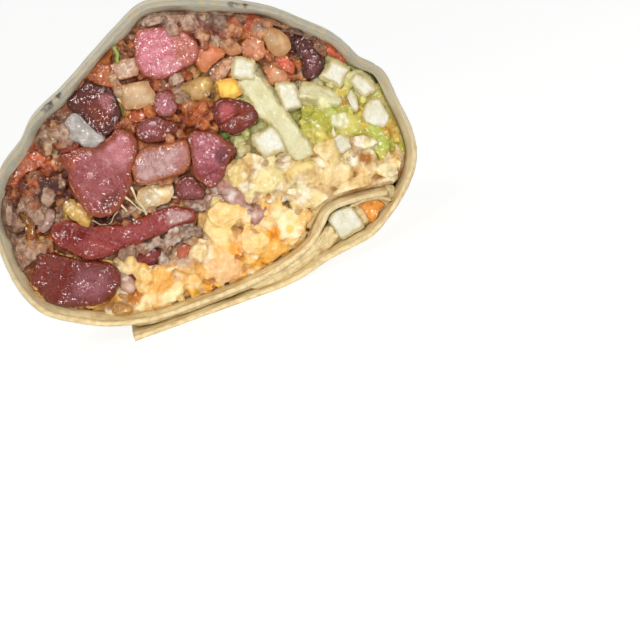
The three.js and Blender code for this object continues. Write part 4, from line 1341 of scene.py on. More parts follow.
    def _thickness_at(self, from_rim: float, turn: Array) -> Array:
        """Gives the sheet's thickness along the route: thin where it was cut, and full behind.

        Args:
            from_rim: how far behind the rim, in millimetres.
            turn: each point's share of the route.

        Returns:
            The thickness in millimetres, by which the inner side lies under the outer one.
        """
        uneven = 1 + waves(turn, self.thickness_waves)
        full = smoothstep(0.0, self.inner_slope, from_rim / uneven)
        swell = smoothstep(1.0, self.inner_slope + 1.5, from_rim / uneven)
        swell *= 1 - smoothstep(7.0, 13.0, np.full_like(turn, from_rim))
        start, end = self.single_layer
        alone = smoothstep(start - 0.04, start, turn) * (1 - smoothstep(end, end + 0.04, turn))
        opened = self.edge_thickness + (self.thickness - self.edge_thickness) * full
        return opened + self.inner_swell * swell * alone

    def _mark(self, mesh: Mesh) -> None:
        """Stores where the cut edge and the burnt spots are."""
        points = positions(mesh)
        from_rim = behind_rim(points)
        store(mesh, "edge", smoothstep(0.35, 0.75, facing(mesh)) * (from_rim < 2.5))
        burn = np.zeros(len(points))
        for x, z, radius in self.burns:
            near = np.exp(-((away_from(points, x, z) / radius) ** 2)) * np.exp(-((from_rim / 5.0) ** 2))
            burn = np.maximum(burn, near)
        store(mesh, "burn", burn)


@dataclass(frozen=True)
class Pleat:
    """A fold of the sheet caught in the seam: its line across the cut, how far behind the rim plane
    its edge lies, and its thickness, all in millimetres."""

    line: tuple[tuple[float, float], ...]
    front: float
    thickness: float = 1.3


@dataclass
class Pleats:
    """The folds between the wrap's inner end and its outer layer."""

    pleats: tuple[Pleat, ...] = (
        Pleat(((2, 2.7), (8, 2.8), (13, 3.7), (17.4, 5.1), (21, 7.0), (24.4, 9.2)), 0.8, 3.9),
        Pleat(((13, 3.0), (18, 4.2), (22, 5.6), (25.0, 7.4)), 1.5, 2.6),
        Pleat(((-26, 3.4), (-20, 2.6), (-12, 2.5), (0, 2.6), (8, 2.7)), 1.0, 1.3),
        Pleat(((29.6, 12.2), (33.4, 12.6), (37.0, 12.0), (39.4, 10.2)), 1.2, 1.4),
        Pleat(((17, 5.2), (21, 7.0), (26, 8.0), (32, 9.2), (37, 10.8), (41, 13.4)), 2.8, 6.0),
    )
    depth: float = 12.0
    samples: int = 90
    rows: int = 32
    voxel: float = 0.3
    fold: float = 1.0
    fold_depth: float = 0.2
    relief: Relief = Relief(0.3, 7.0, 0.0, 1.0, 0.08, 1.0, 14.0)

    def build(self, kitchen: Kitchen, finish: TortillaFinish) -> None:
        """Makes the folds.

        Args:
            kitchen: what the sub-assemblies share.
            finish: the wrap's finish.
        """
        sheets = [self._sheet(number, pleat) for number, pleat in enumerate(self.pleats)]
        piece = join_shells("tortilla_pleats", sheets)
        kitchen.soften(piece, self.voxel, 2)
        points = positions(piece.data)
        folds = ripple(kitchen.along_sheet(points) * MM, self.fold * MM, 5)
        points[:, 1] += self.fold_depth * MM * folds * np.clip(facing(piece.data), 0, 1)
        move_points(piece.data, points)
        kitchen.carve(piece, self.relief, finish)
        mesh = piece.data
        for name, value in (("edge", 0.75), ("inside", 1.0), ("burn", 0.0)):
            store(mesh, name, np.full(len(mesh.vertices), value))
        store(mesh, "drawn", kitchen.along_sheet(positions(mesh)))
        kitchen.serve(piece, finish.slot)

    def _sheet(self, number: int, pleat: Pleat) -> tuple[Array, Faces]:
        """Works out one fold's points and faces: a flat tube round its line, open to neither side."""
        line = resampled(np.array(pleat.line, dtype=float), self.samples)
        for _ in range(12):
            line[1:-1] = (line[:-2] + 2 * line[1:-1] + line[2:]) / 4
        outward = outward_of(line)
        share = np.linspace(0, 1, self.samples)
        ends = np.sqrt(np.clip(1 - np.abs(2 * share - 1) ** 10, 0, 1))
        frayed = waves(share, ((0.25, 23, number), (0.15, 57, 2 * number)))
        rows = []
        for turn in np.arange(self.rows) / self.rows * math.tau:
            side = math.sin(turn)
            back = (1 - math.cos(turn)) / 2
            thick = pleat.thickness / 2 * np.sign(side) * abs(side) ** 0.4 * ends
            place = line + outward * thick[:, None]
            depth = RIM + pleat.front + frayed * (1 - back) + self.depth * back
            rows.append(np.stack([place[:, 0], depth, place[:, 1]], axis=1))
        return np.stack(rows, axis=1).reshape(-1, 3) * MM, ring_faces(self.samples, self.rows)


# ==== Sausage ====


@dataclass(frozen=True)
class Slice:
    """One piece of sausage: its CAD node, the colours of its cut side and skin, how far the skin
    reaches in from the outline, and the slope of the knife's cut across and up."""

    node: str
    cut: str
    skin: str
    skinned: float = 1.0
    slope: tuple[float, float] = (0.0, 0.0)
    patches: tuple[Patch, ...] = ()
    creases: tuple[Crease, ...] = ()
    stretch: tuple[float, float] = (1.03, 1.03)


@dataclass
class Sausages:
    """The pieces of smoked sausage."""

    voxel: float = 0.34
    smoothing: int = 2
    grow: float = 0.3
    trim: float = 0.6
    ragged: float = 0.6
    relief: Relief = Relief(0.7, 4.0, 0.22, 1.6, 0.34, 0.6)
    slices: tuple[Slice, ...] = (
        Slice(
            "sausage_top_coin", "#E08C98", "#B4604C", 1.0, (-0.05, 0.0),
            # The pale pink patch at (2, 55.4) is a painted highlight on the coin.
            (Patch(7.4, 58, 4.0, "#CC7E68", 0.9), Patch(2, 55.4, 2.6, "#ECAEB4", 0.7)),
        ),
        Slice(
            "sausage_two_lobed", "#AA5C5C", "#9A4624", 1.7, (-0.03, 0.02),
            (
                Patch(-15.5, 43, 5, "#D28A8E", 0.95), Patch(-21, 30.5, 3.6, "#7A2A18", 0.9),
                Patch(-27.6, 44.5, 2.6, "#BC5A38", 0.8),
            ),
            (Crease((-20.5, 47.5), (-17.2, 33.5), 1.3, 0.8), Crease((-29, 42), (-24, 33), 1.0, 0.4)),
        ),
        Slice(
            "sausage_low_left", "#884448", "#7E2A12", 1.8, (-0.02, 0.04),
            (Patch(-40.5, 21, 5.8, "#7E2410", 0.95), Patch(-32, 14.6, 4, "#A8646C", 0.6)),
            (Crease((-42, 15.5), (-36, 22.5), 1.2, 0.55),),
        ),
        Slice(
            "sausage_middle", "#D0A8A4", "#B4683E", 1.1, (-0.05, 0.02), (Patch(-2.4, 35, 3, "#BC7870", 0.7),),
            (Crease((-9.8, 40), (-8.8, 34), 0.7, 0.5),),
        ),
        Slice(
            "sausage_right_lobe", "#BC6C76", "#9A4A30", 1.1, (-0.06, 0.03),
            (Patch(7.2, 33, 2.6, "#702C34", 0.8), Patch(2, 29.6, 2.4, "#9A4048", 0.8)),
            (Crease((-1, 31.6), (6.4, 30.4), 0.9, 0.8),),
        ),
        Slice(
            "sausage_long_strip", "#A84846", "#942E12", 1.1, (-0.02, 0.03),
            (
                Patch(-33, 29, 5, "#801806", 1.0), Patch(-26, 23, 2.4, "#AC4C48", 0.8),
                # The pale patch at the strip's right end is a painted highlight.
                Patch(-7.4, 23.4, 3.6, "#D4B0AA", 0.9),
            ),
            (Crease((-14.6, 25.4), (-14.2, 21.6), 0.8, 0.7), Crease((-30, 28), (-23, 22), 0.9, 0.8)),
        ),
        Slice(
            "sausage_dark_left", "#661C08", "#561808", 1.6, (-0.02, 0.0),
            (Patch(-13.6, 53.2, 2.4, "#B06E70", 1.0), Patch(-18, 51, 3.2, "#8A3A1C", 0.7)),
        ),
        Slice(
            "sausage_dark_centre", "#8A3A2A", "#80300E", 1.3, (-0.04, 0.0),
            (Patch(-7, 45, 2, "#A8606A", 0.7),),
        ),
        Slice(
            "sausage_round_end", "#8C300E", "#7A240C", 1.6, (-0.06, 0.0),
            (Patch(10, 43, 2.3, "#CC6468", 1.0),), (Crease((8, 40.6), (12.4, 41.4), 0.7, 0.9),),
        ),
        Slice(
            "sausage_right_upright", "#7C3A38", "#541C12", 1.3, (-0.08, 0.0),
            (Patch(31, 51, 2.4, "#5C2018", 0.9),),
        ),
        Slice("sausage_mauve", "#BC7880", "#944836", 0.9, stretch=(1.04, 1.04)),
        Slice("sausage_small_purple", "#A0585C", "#803628", 1.1, stretch=(1.04, 1.04)),
        Slice("sausage_low_strip", "#983E34", "#7A2212", 1.0, stretch=(1.04, 1.04)),
        Slice("sausage_small_left", "#B4543C", "#8E3418", 0.9, stretch=(1.04, 1.04)),
    )

    def build(self, kitchen: Kitchen) -> None:
        """Makes each piece of sausage.

        Args:
            kitchen: what the sub-assemblies share.
        """
        for number, part in enumerate(self.slices):
            piece = cad_copy(f"{part.node}_piece", part.node)
            stretch(piece.data, part.stretch)
            kitchen.soften(piece, self.voxel, self.smoothing, self.grow)
            kitchen.cut(piece.data, self.trim, part.slope, part.creases, self.ragged)
            rim = inside_outline(piece.data)
            kitchen.carve(piece, replace(self.relief, seed=number + 2.0), SAUSAGE)
            self._tint(piece.data, part, rim, number)
            kitchen.serve(piece, SAUSAGE.slot, part.node)

    def _tint(self, mesh: Mesh, part: Slice, rim: Array, seed: int) -> None:
        """Colours a piece's cut side, with its patches, and its skin; a few patches are painted highlights.
        """
        points = positions(mesh)
        wander = 1 + 0.6 * ripple(points, 2.8 * MM, seed + 11)
        skin = 1 - smoothstep(0.35 * part.skinned, 1.25 * part.skinned, rim * wander)
        tint = paint(mesh, part.cut, part.patches, seed=seed)
        store_tint(mesh, laid_over(tint, part.skin, skin))


# ==== Diced vegetables, cheese and other single pieces ====


@dataclass(frozen=True)
class Morsel:
    """One small single piece: its CAD node, its colour, a second colour at its edges, and how far it
    stands forward, in millimetres."""

    node: str
    colour: str
    rim: str
    patches: tuple[Patch, ...] = ()
    stretch: tuple[float, float] = (1.05, 1.05)
    forward: float = 0.0


@dataclass
class Morsels:
    """Single small pieces of one kind."""

    finish: FoodFinish
    morsels: tuple[Morsel, ...]
    voxel: float = 0.26
    smoothing: int = 3
    grow: float = 0.3
    tilt: float = 0.25
    ragged: float = 0.6
    trim: float = 0.6
    edge: tuple[float, float] = (0.15, 1.6)
    edge_share: float = 0.8
    stain_share: float = 0.6
    # How many random spots are made lighter, as painted sheen, or darker, as uneven tone.
    sheen_spots: int = 4
    relief: Relief = Relief(0.5, 2.2, 0.2, 1.3, 0.12, 0.6)

    def build(self, kitchen: Kitchen) -> None:
        """Makes each piece.

        Args:
            kitchen: what the sub-assemblies share.
        """
        for number, part in enumerate(self.morsels):
            piece = cad_copy(f"{part.node}_piece", part.node)
            stretch(piece.data, part.stretch)
            kitchen.soften(piece, self.voxel, self.smoothing, self.grow)
            draw = np.random.default_rng(number + 7)
            slope = tuple(draw.uniform(-self.tilt, self.tilt, 2))
            held = part.node != "cheddar_wedge"
            kitchen.cut(piece.data, self.trim, slope, ragged=self.ragged, walled=held)
            move_points(piece.data, positions(piece.data) - (0, part.forward * MM, 0))
            rim = inside_outline(piece.data, 3.0)
            kitchen.carve(piece, replace(self.relief, seed=number * 3.0 + 5.0), self.finish)
            points = positions(piece.data)
            wander = 1 + 0.6 * ripple(points, 2 * MM, number)
            side = self.edge_share * (1 - smoothstep(*self.edge, rim * wander))
            stained = self.stain_share * smoothstep(0.05, 0.45, ripple(points, 1.5 * MM, number + 40))
            side = np.maximum(side, stained)
            tint = paint(piece.data, part.colour, part.patches, seed=number)
            # Random lighter spots are painted sheen; random darker ones are uneven tone.
            tint *= self._unevenly_ripe(piece.data, draw)[:, None]
            store_tint(piece.data, laid_over(tint, part.rim, side))
            kitchen.serve(piece, self.finish.slot, part.node)

    def _unevenly_ripe(self, mesh: Mesh, draw: np.random.Generator) -> Array:
        """Works out how much lighter or darker each point is than the piece's own colour: lighter spots as
        painted sheen, darker ones as uneven tone.
        """
        points = positions(mesh)
        low, high = points.min(axis=0), points.max(axis=0)
        factor = np.ones(len(points))
        for _ in range(self.sheen_spots):
            centre = draw.uniform(low, high)
            away = np.hypot(points[:, 0] - centre[0], points[:, 2] - centre[2]) / (2.0 * MM)
            factor += draw.uniform(-0.25, 0.4) * np.exp(-(away**2))
        return factor


ONIONS = Morsels(
    ONION,
    (
        Morsel("onion_slice_left", "#A9A5A0", "#938A84", forward=1.0),
        Morsel("onion_top", "#BA9A80", "#A87450", forward=0.5),
        Morsel("onion_centre", "#B99C7A", "#AC7C4A", (Patch(-9.6, 54.4, 1.6, "#D0B490", 0.7),), forward=0.5),
        Morsel("onion_right", "#B29470", "#B07838", forward=0.5),
        Morsel("onion_upper_right", "#C08A5C", "#A86C40"), Morsel("onion_lower_right", "#B5804E", "#946036"),
        Morsel("onion_low", "#C0A392", "#A87A64"), Morsel("onion_far_left", "#A88A80", "#8A6458"),
        Morsel("onion_strand", "#CBB68C", "#C09C62", (Patch(-12, 30, 2, "#DCD0B4", 0.8),)),
    ),
    relief=Relief(0.8, 2.6, 0.2, 1.6, 0.25, 0.6),
)
TOMATOES = Morsels(
    TOMATO,
    (
        Morsel("tomato_left", "#A05A38", "#A0481C", (Patch(-33, 48, 2, "#C0581C", 0.8),)),
        Morsel("tomato_upper_left", "#AC6436", "#9C5022"),
        Morsel("tomato_centre", "#C88460", "#B4642E", forward=0.4),
        Morsel("tomato_upper_right", "#BC5A3E", "#9A4630"),
        Morsel("tomato_peach", "#C48C6A", "#B06A38", forward=0.4),
        Morsel("tomato_red_right", "#BC6244", "#A84E2C"), Morsel("tomato_pale_right", "#CC9A76", "#BC7840"),
        Morsel("tomato_rim", "#BC6040", "#A44822"), Morsel("tomato_middle", "#B4603A", "#A04A1E"),
        Morsel("tomato_low", "#BE6444", "#A4522E"),
    ),
    relief=Relief(1.1, 2.4, 0.5, 1.3, 0.35, 0.6),
)
CHEESES = Morsels(
    CHEESE,
    (
        Morsel("cheese_amber", "#8C5404", "#703A04", forward=0.6),
        Morsel("cheese_strand", "#CCAA60", "#A87C34"),
        Morsel("cheese_melt", "#B4925C", "#9A6C32", (Patch(8.4, 49.4, 1.6, "#D8C07A", 0.9),)),
        Morsel("cheese_yellow", "#EFC660", "#D89A38"), Morsel("cheddar_wedge", "#E09A3C", "#C87A26"),
    ),
    ragged=1.1, relief=Relief(1.4, 2.2, 0.5, 1.6, 0.2, 0.7),
)
CREAMS = Morsels(
    CREAM,
    (
        Morsel(
            "cream_sauce", "#BC9284", "#9C6A5A",
            (Patch(4.6, 24, 1.6, "#DCCEC4", 0.9), Patch(7.6, 19, 1.6, "#DEC8B6", 0.9)), (1.16, 1.06), 0.9,
        ),
    ),
    ragged=1.6, relief=Relief(1.8, 2.4, 1.1, 1.5, 0.4, 0.8),
)
BEEF_STRIPS = Morsels(
    MEAT_BED, (Morsel("beef_strip", "#937A6E", "#6E4E42"),), ragged=0.8,
    relief=Relief(1.1, 2.8, 1.2, 1.5, 0.4, 0.8),
)


# ==== Fillings that run through ====


def crevices(mesh: Mesh, width: float = 2.6, cell: float = 0.35) -> Array:
    """Measures how far each point lies behind the surface round it, seen from the front, for the painted
    shade in a filling's crevices.

    Args:
        mesh: the mesh of a filling's front.
        width: how wide the surroundings are, in millimetres.
        cell: the width of the cells in which the surface is averaged, in millimetres.

    Returns:
        Millimetres behind the average of the surroundings, and less than 0 in front of it.
    """
    points = positions(mesh)
    cells = np.floor((points[:, (0, 2)] - points[:, (0, 2)].min(axis=0)) / (cell * MM)).astype(int)
    place = tuple(cells.T)
    nearest = np.full(cells.max(axis=0) + 1, np.inf)
    np.minimum.at(nearest, place, points[:, 1])
    known = np.isfinite(nearest)
    layers = [np.where(known, nearest, 0.0), known.astype(float)]
    kernel = np.hanning(2 * int(width / cell) + 1)
    for axis in (0, 1):
        layers = [np.apply_along_axis(np.convolve, axis, layer, kernel, "same") for layer in layers]
    average = layers[0] / np.maximum(layers[1], 1e-9)
    return (points[:, 1] - average[place]) / MM


class CrumbShape(Enum):
    """The form of one strewn crumb."""

    LUMP = "lump"
    CURD = "curd"
    DICE = "dice"
    SHRED = "shred"


@dataclass
class Curds:
    """Crumbs of one kind, strewn over a filling's front within round areas and kneaded into it.

    An area is X, Z and a radius in millimetres. Each crumb takes one colour of the palette, and is
    between the two sizes across.
    """

    name: str
    shape: CrumbShape
    areas: tuple[Place, ...]
    palette: tuple[str, ...]
    sizes: tuple[float, float]
    spacing: float
    lift: float = 0.3
    seed: int = 1
    kinds: int = 6
    detail: int = 3
    density: float = 4.0e6
    nearest: float = 1.4
    furthest: float = 8.0

    def strew(self, kitchen: Kitchen, ground: Piece) -> Piece:
        """Strews the crumbs over a filling's front.

        Args:
            kitchen: what the sub-assemblies share.
            ground: the filling's front, which stays as it is.

        Returns:
            All the crumbs, as one object.
        """
        mesh = ground.data.copy()
        piece = add_object(self.name, mesh)
        points = positions(mesh)
        share = np.zeros(len(points))
        for x, z, radius in self.areas:
            away = away_from(points, x, z)
            share = np.maximum(share, 1 - smoothstep(radius * 0.75, radius, away))
        from_rim = behind_rim(points)
        share *= (facing(mesh) > 0.25) * (1 - kitchen.covered(points))
        share *= (from_rim > self.nearest) * (from_rim < self.furthest)
        store(mesh, "share", share)
        shapes = [self._crumb(kind) for kind in range(self.kinds)]
        crumbs = bpy.data.collections.new(f"{self.name}_kinds")
        for shape in shapes:
            crumbs.objects.link(shape)
        values = {
            "Crumbs": crumbs, "Density": self.density, "Spacing": self.spacing * MM,
            "Smallest": self.sizes[0], "Largest": self.sizes[1], "Lift": self.lift * MM, "Seed": self.seed,
        }
        run_tree(piece, kitchen.scatter_tree.tree, values)
        discard(*shapes)
        bpy.data.collections.remove(crumbs)
        return piece

    def spots(self, piece: Piece) -> tuple[Array, Array, Array]:
        """Finds each strewn crumb.

        Args:
            piece: the strewn crumbs, each with equally many points.

        Returns:
            The crumbs' centres, their radii and their colours.
        """
        points = positions(piece.data)
        shade = stored(piece.data, "shade")
        each = 10 * 4 ** (self.detail - 1) + 2
        crumbs = points.reshape(-1, each, 3)
        centres = crumbs.mean(axis=1)
        radii = np.linalg.norm(crumbs - centres[:, None, :], axis=2).mean(axis=1)
        colours = np.array([linear(code)[:3] for code in self.palette])
        chosen = np.minimum((shade.reshape(-1, each)[:, 0] * len(colours)).astype(int), len(colours) - 1)
        return centres, radii, colours[chosen]

    def _crumb(self, kind: int) -> Piece:
        """Makes one uneven crumb, a millimetre across.

        Args:
            kind: its number among the kinds, which seeds its shape.

        Returns:
            The crumb.
        """
        mesh = bpy.data.meshes.new(f"{self.name}_kind_{kind}")
        ball = bmesh.new()
        bmesh.ops.create_icosphere(ball, subdivisions=self.detail, radius=1.0)
        shift = Vector((kind * 7.7, self.seed * 3.1, 0.5))
        stretch = Vector((1.0, 0.8 + 0.1 * (kind % 3), 0.62 + 0.1 * (kind % 2)))
        if self.shape is CrumbShape.SHRED:
            stretch = Vector((1.5, 0.34, 0.3))
        power = 5 if self.shape in (CrumbShape.DICE, CrumbShape.SHRED) else 2
        for corner in ball.verts:
            out = corner.co.normalized()
            squared = sum(abs(part) ** power for part in out) ** (1 / power)
            swell = 0.3 * noise.noise(out * 1.2 + shift)
            if self.shape is CrumbShape.LUMP:
                cells = noise.voronoi(out * 2.1 + shift)[0]
                swell += 0.55 * (0.42 - cells[0])
            elif self.shape is CrumbShape.CURD:
                swell += 0.2 * noise.noise(out * 2.6 + shift)
            else:
                swell *= 0.45
            corner.co = out / squared * 0.5 * MM * (1 + swell)
            corner.co *= stretch
        ball.to_mesh(mesh)
        ball.free()
        mesh.shade_smooth()
        return bpy.data.objects.new(mesh.name, mesh)


MEAT_CURDS = (
    Curds(
        "beef_crumbs", CrumbShape.LUMP,
        (
            (-43, 35, 6), (-29, 50.8, 5), (-33.5, 38.5, 3.5), (3, 67, 7), (9, 65, 5), (15.5, 61.5, 5),
            (34, 52, 4), (-22, 17, 3.5), (-44, 28, 4), (-37, 39, 4), (-39, 31, 5), (1.5, 52, 4),
            (-18, 27.5, 3), (27, 57, 5),
        ),
        ("#BFA48E", "#AC927C", "#CCB29A", "#9C826E", "#B89C86"), sizes=(3.2, 6.0), spacing=2.4, lift=0.9,
        seed=3,
    ),
    Curds(
        "beef_grit", CrumbShape.LUMP, ((-34, 42, 16), (5, 64, 16), (-10, 22, 14), (32, 50, 10)),
        ("#B08A70", "#9A6A4C", "#C09C80", "#8A5038", "#C4824C", "#B86A3C"), sizes=(1.4, 2.8), spacing=1.9,
        lift=0.4, seed=5, detail=2,
    ),
    Curds(
        "glazed_grit", CrumbShape.CURD,
        ((3, 46, 10), (-11, 47, 7), (-24, 46, 5), (-31, 41, 5), (14, 50, 6), (-27, 33, 4), (-3, 55, 6)),
        ("#BE6E38", "#A8542A", "#CE8846", "#984424", "#C4763A", "#B45E30"), sizes=(1.4, 3.0), spacing=1.8,
        lift=0.6, seed=6, detail=2,
    ),
    Curds(
        "dark_bits", CrumbShape.CURD,
        (
            (-38.5, 39.6, 2.6), (-30.6, 39, 3), (-28.6, 43, 2.4), (-34, 33.6, 2), (29.8, 50, 3),
            (-3, 40.6, 2.4),
        ),
        ("#4A1A12", "#5E2A1C", "#3E1410"), sizes=(2.0, 3.6), spacing=2.4, lift=0.8, seed=9,
    ),
    Curds(
        "creamy_beef", CrumbShape.CURD,
        ((-11, 18.6, 7.5), (-16, 18, 4), (-3, 24.8, 4), (2, 26, 3.4), (-21, 18.6, 3)),
        ("#D4C6B8", "#C2AE9C", "#E6DACC", "#AC9684", "#D0B698"), sizes=(1.6, 3.6), spacing=1.5, lift=1.1,
        seed=21,
    ),
    Curds(
        "salsa_bits", CrumbShape.DICE,
        (
            (-37, 46, 6), (-33, 44.5, 3), (-13, 59.5, 5), (21, 57, 5), (26, 49.4, 5), (-9, 48, 4),
            (9.5, 53, 4), (5, 43.5, 4), (-39, 27, 3), (-10.5, 50.6, 3), (37, 48, 3), (9, 59.5, 4),
            (17, 46, 3), (-4, 39.8, 4), (-27, 36, 3), (15, 48, 3),
        ),
        ("#D88C5C", "#CC6C3C", "#E2A478", "#C05A34", "#E6B48A", "#D87C30"), sizes=(2.0, 4.2), spacing=2.2,
        lift=0.8, seed=8,
    ),
    Curds(
        "onion_bits", CrumbShape.DICE,
        ((-8, 56, 5), (13, 55, 6), (26, 55, 5), (-12, 28, 5), (7, 50, 5), (-30, 47, 4), (12, 62.5, 4)),
        ("#DCBE9A", "#CEA476", "#E6D0AC", "#C09264"), sizes=(2.0, 3.6), spacing=2.8, lift=0.8, seed=13,
    ),
    Curds(
        "meat_cheese", CrumbShape.CURD,
        ((-12, 28, 7), (8, 48.6, 6), (-39.5, 33, 5), (-30, 33, 4), (24, 55, 4), (-10.4, 52, 3)),
        ("#DCAE50", "#E8C878", "#CC943A", "#E4BC64"), sizes=(1.4, 3.2), spacing=2.4, lift=0.5, seed=17,
        detail=2,
    ),
)
POTATO_AREAS = ((10, 22, 9), (22, 24, 11), (34, 19, 11), (41, 16, 6))
POTATO_CURDS = (
    Curds(
        "potato_chunks", CrumbShape.CURD, POTATO_AREAS,
        ("#E8E2B0", "#E0D48C", "#F4EFDC", "#E8D698", "#EDE6C0"), sizes=(4.0, 8.0), spacing=4.0, lift=0.2,
        seed=31,
    ),
    Curds(
        "potato_flakes", CrumbShape.SHRED, POTATO_AREAS, ("#FAF5E4", "#F2E4C0", "#F8EFD8", "#E4C88C"),
        sizes=(1.8, 3.6), spacing=2.0, lift=0.8, seed=32, detail=2,
    ),
    Curds(
        "potato_bits", CrumbShape.CURD, POTATO_AREAS, ("#F4EEDA", "#E6CC90", "#F6F0DE", "#DDB878", "#ECE0AC"),
        sizes=(1.4, 4.4), spacing=2.8, lift=0.7, seed=33, detail=2,
    ),
)
CHEESY_AREAS = ((-20, 9, 10), (-5, 10, 9), (5, 13, 11), (13, 14, 8), (-28, 8, 4))
CHEESY_CURDS = (
    Curds(
        "cheesy_chunks", CrumbShape.CURD, CHEESY_AREAS,
        ("#EFE0B4", "#F0D694", "#F4ECD0", "#F0CC84", "#F2E2B0"), sizes=(5.0, 10.0), spacing=4.6, lift=0.2,
        seed=37,
    ),
    Curds(
        "cheesy_flakes", CrumbShape.SHRED, CHEESY_AREAS, ("#FAF0D4", "#F6E2B0", "#F3CE84"), sizes=(1.6, 3.2),
        spacing=2.6, lift=0.8, seed=38, detail=2,
    ),
    Curds(
        "cheesy_bits", CrumbShape.CURD, CHEESY_AREAS, ("#F0DCA4", "#F0BC60", "#F4E8C0", "#F0C878"),
        sizes=(1.6, 3.0), spacing=3.2, lift=0.7, seed=39, detail=2,
    ),
    Curds(
        "cheddar_shreds", CrumbShape.SHRED,
        ((5, 6.6, 4), (-7.7, 5, 4), (-2.5, 4, 4), (11, 11, 5), (2, 9, 5), (-17, 12, 4)),
        ("#F8B62C", "#F6A82C", "#F8C850"), sizes=(2.0, 3.2), spacing=3.0, lift=0.9, seed=41,
    ),
)
AVOCADO_CURDS = (
    Curds(
        "avocado_lumps", CrumbShape.CURD, ((30, 32, 6), (38, 35, 6), (42, 26, 7), (35, 27, 6)),
        ("#C6BE60", "#D8CC78", "#B2AE46", "#DCD490", "#D2B650"), sizes=(1.6, 3.6), spacing=2.1, seed=43,
    ),
    Curds(
        "fry_bits", CrumbShape.DICE, ((33, 30, 5), (40, 30, 4), (36, 37, 4), (44, 24, 4), (29, 34, 4)),
        ("#F0EEDC", "#ECE6C0", "#E4D070", "#F2F0E0"), sizes=(2.2, 4.4), spacing=4.2, lift=0.6, seed=45,
    ),
    Curds(
        "crust_bits", CrumbShape.SHRED, ((33, 31, 5), (42, 30, 5), (37, 37, 4), (45, 25, 4)),
        ("#B48A40", "#A87434", "#C8A050"), sizes=(1.4, 2.6), spacing=4.6, lift=0.7, seed=46, detail=2,
    ),
)
FRY_CURDS = (
    Curds(
        "fry_crumbs", CrumbShape.CURD, ((14, 32, 6), (28, 36, 8), (37, 40, 8), (22, 42, 6), (42, 42, 5)),
        ("#DDD8A4", "#C2C67C", "#ECE6C0", "#D6C67C", "#E8DCB0"), sizes=(1.6, 3.6), spacing=2.4, lift=0.1,
        seed=47,
    ),
)


@dataclass
class Filling:
    """A filling that runs the length of the half: fine relief at the cut, plain behind it.

    The `embedded` pieces are pressed into it: it closes round each, up to `sunk` millimetres
    behind the piece's front. `raised` brings its front nearer to the cut, but no part of it stands
    nearer than `recess`.
    """

    node: str
    finish: FoodFinish
    base: str
    patches: tuple[Patch, ...]
    relief: Relief
    embedded: tuple[str, ...] = ()
    curds: tuple[Curds, ...] = ()
    sunk: float = 1.1
    bed_grow: float = 0.8
    raised: float = 0.0
    recess: float = -0.2
    grow: float = 0.3
    voxel: float = 0.34
    smoothing: int = 2
    front_depth: float = 9.0
    # How far crevices take the valley colour, as painted shade with gathered juice.
    darkened: float = 0.42

    def build(self, kitchen: Kitchen) -> None:
        """Makes the filling.

        Args:
            kitchen: what the sub-assemblies share.
        """
        front, rest = split_front(self.node, self.front_depth)
        self._raise(front.data)
        beds = [self._bed_of(node) for node in self.embedded]
        front = joined(f"{self.node}_front", [front, *beds])
        kitchen.soften(front, self.voxel * 1.2, self.smoothing, self.grow)
        strewn = [kind.strew(kitchen, front) for kind in self.curds]
        spots = [kind.spots(piece) for kind, piece in zip(self.curds, strewn)]
        if strewn:
            front = joined(f"{self.node}_front", [front, *strewn])
            kitchen.soften(front, self.voxel, self.smoothing)
        kitchen.carve(front, self.relief, self.finish)
        points = kitchen.keep_inside(positions(front.data))
        points[:, 1] = np.maximum(points[:, 1], RIM_Y - 0.3 * MM)
        move_points(front.data, points)
        tint = paint(front.data, self.base, self.patches, uneven=0.5, seed=9)
        if spots:
            tint = self._colour_curds(points, tint, spots)
        store_tint(front.data, tint)
        height = stored(front.data, "height")
        # Crevices sink the stored height, so that the valley colour lays painted shade, with gathered juice,
        # between the pieces and curds.
        store(front.data, "height", height - self.darkened * smoothstep(0.15, 1.2, crevices(front.data)))
        rest.data.materials.append(material_of(self.finish))
        store_tint(rest.data, paint(rest.data, self.base))
        store(rest.data, "height", np.zeros(len(rest.data.vertices)))
        piece = joined(f"{self.node}_filling", [front, rest])
        kitchen.serve(piece, self.finish.slot, self.node)

    def _colour_curds(
        self, points: Array, tint: Array, spots: Sequence[tuple[Array, Array, Array]], strength: float = 0.85,
    ) -> Array:
        """Gives what was strewn its own colours.

        Args:
            points: the filling's points.
            tint: the colours under the strewn crumbs.
            spots: the centres, radii and colours of each kind of crumb.
            strength: how far a crumb keeps its own colour.

        Returns:
            The colours of the kneaded filling.
        """
        centres, radii, colours = (np.concatenate(part) for part in zip(*spots))
        tree = tree_of(centres)
        found = [tree.find(point)[1:] for point in points]
        nearest = np.array([number for number, _ in found])
        away = np.array([distance for _, distance in found]) / radii[nearest]
        weight = strength * (1 - smoothstep(0.95, 1.45, away))
        return tint + weight[:, None] * (colours[nearest] - tint)

    def _raise(self, mesh: Mesh) -> None:
        """Brings the front nearer to the cut."""
        points = positions(mesh)
        shown = points[:, 1] < RIM_Y + (self.front_depth - 1) * MM
        points[shown, 1] -= self.raised * MM
        points[:, 1] = np.maximum(points[:, 1], RIM_Y + self.recess * MM)
        move_points(mesh, points)

    def _bed_of(self, node: str) -> Piece:
        """Makes the bed that the filling forms behind and round an embedded piece."""
        bed = cad_copy(f"{node}_bed", node)
        points = positions(bed.data) + normals(bed.data) * self.bed_grow * MM
        points[:, 1] += (self.sunk + self.bed_grow) * MM
        points[:, 1] = np.minimum(points[:, 1], RIM_Y + self.front_depth * MM)
        move_points(bed.data, points)
        return bed


SINGLE_FRIES = ("fry_in_guacamole_right", "fry_in_guacamole_low", "fry_in_guacamole_top")

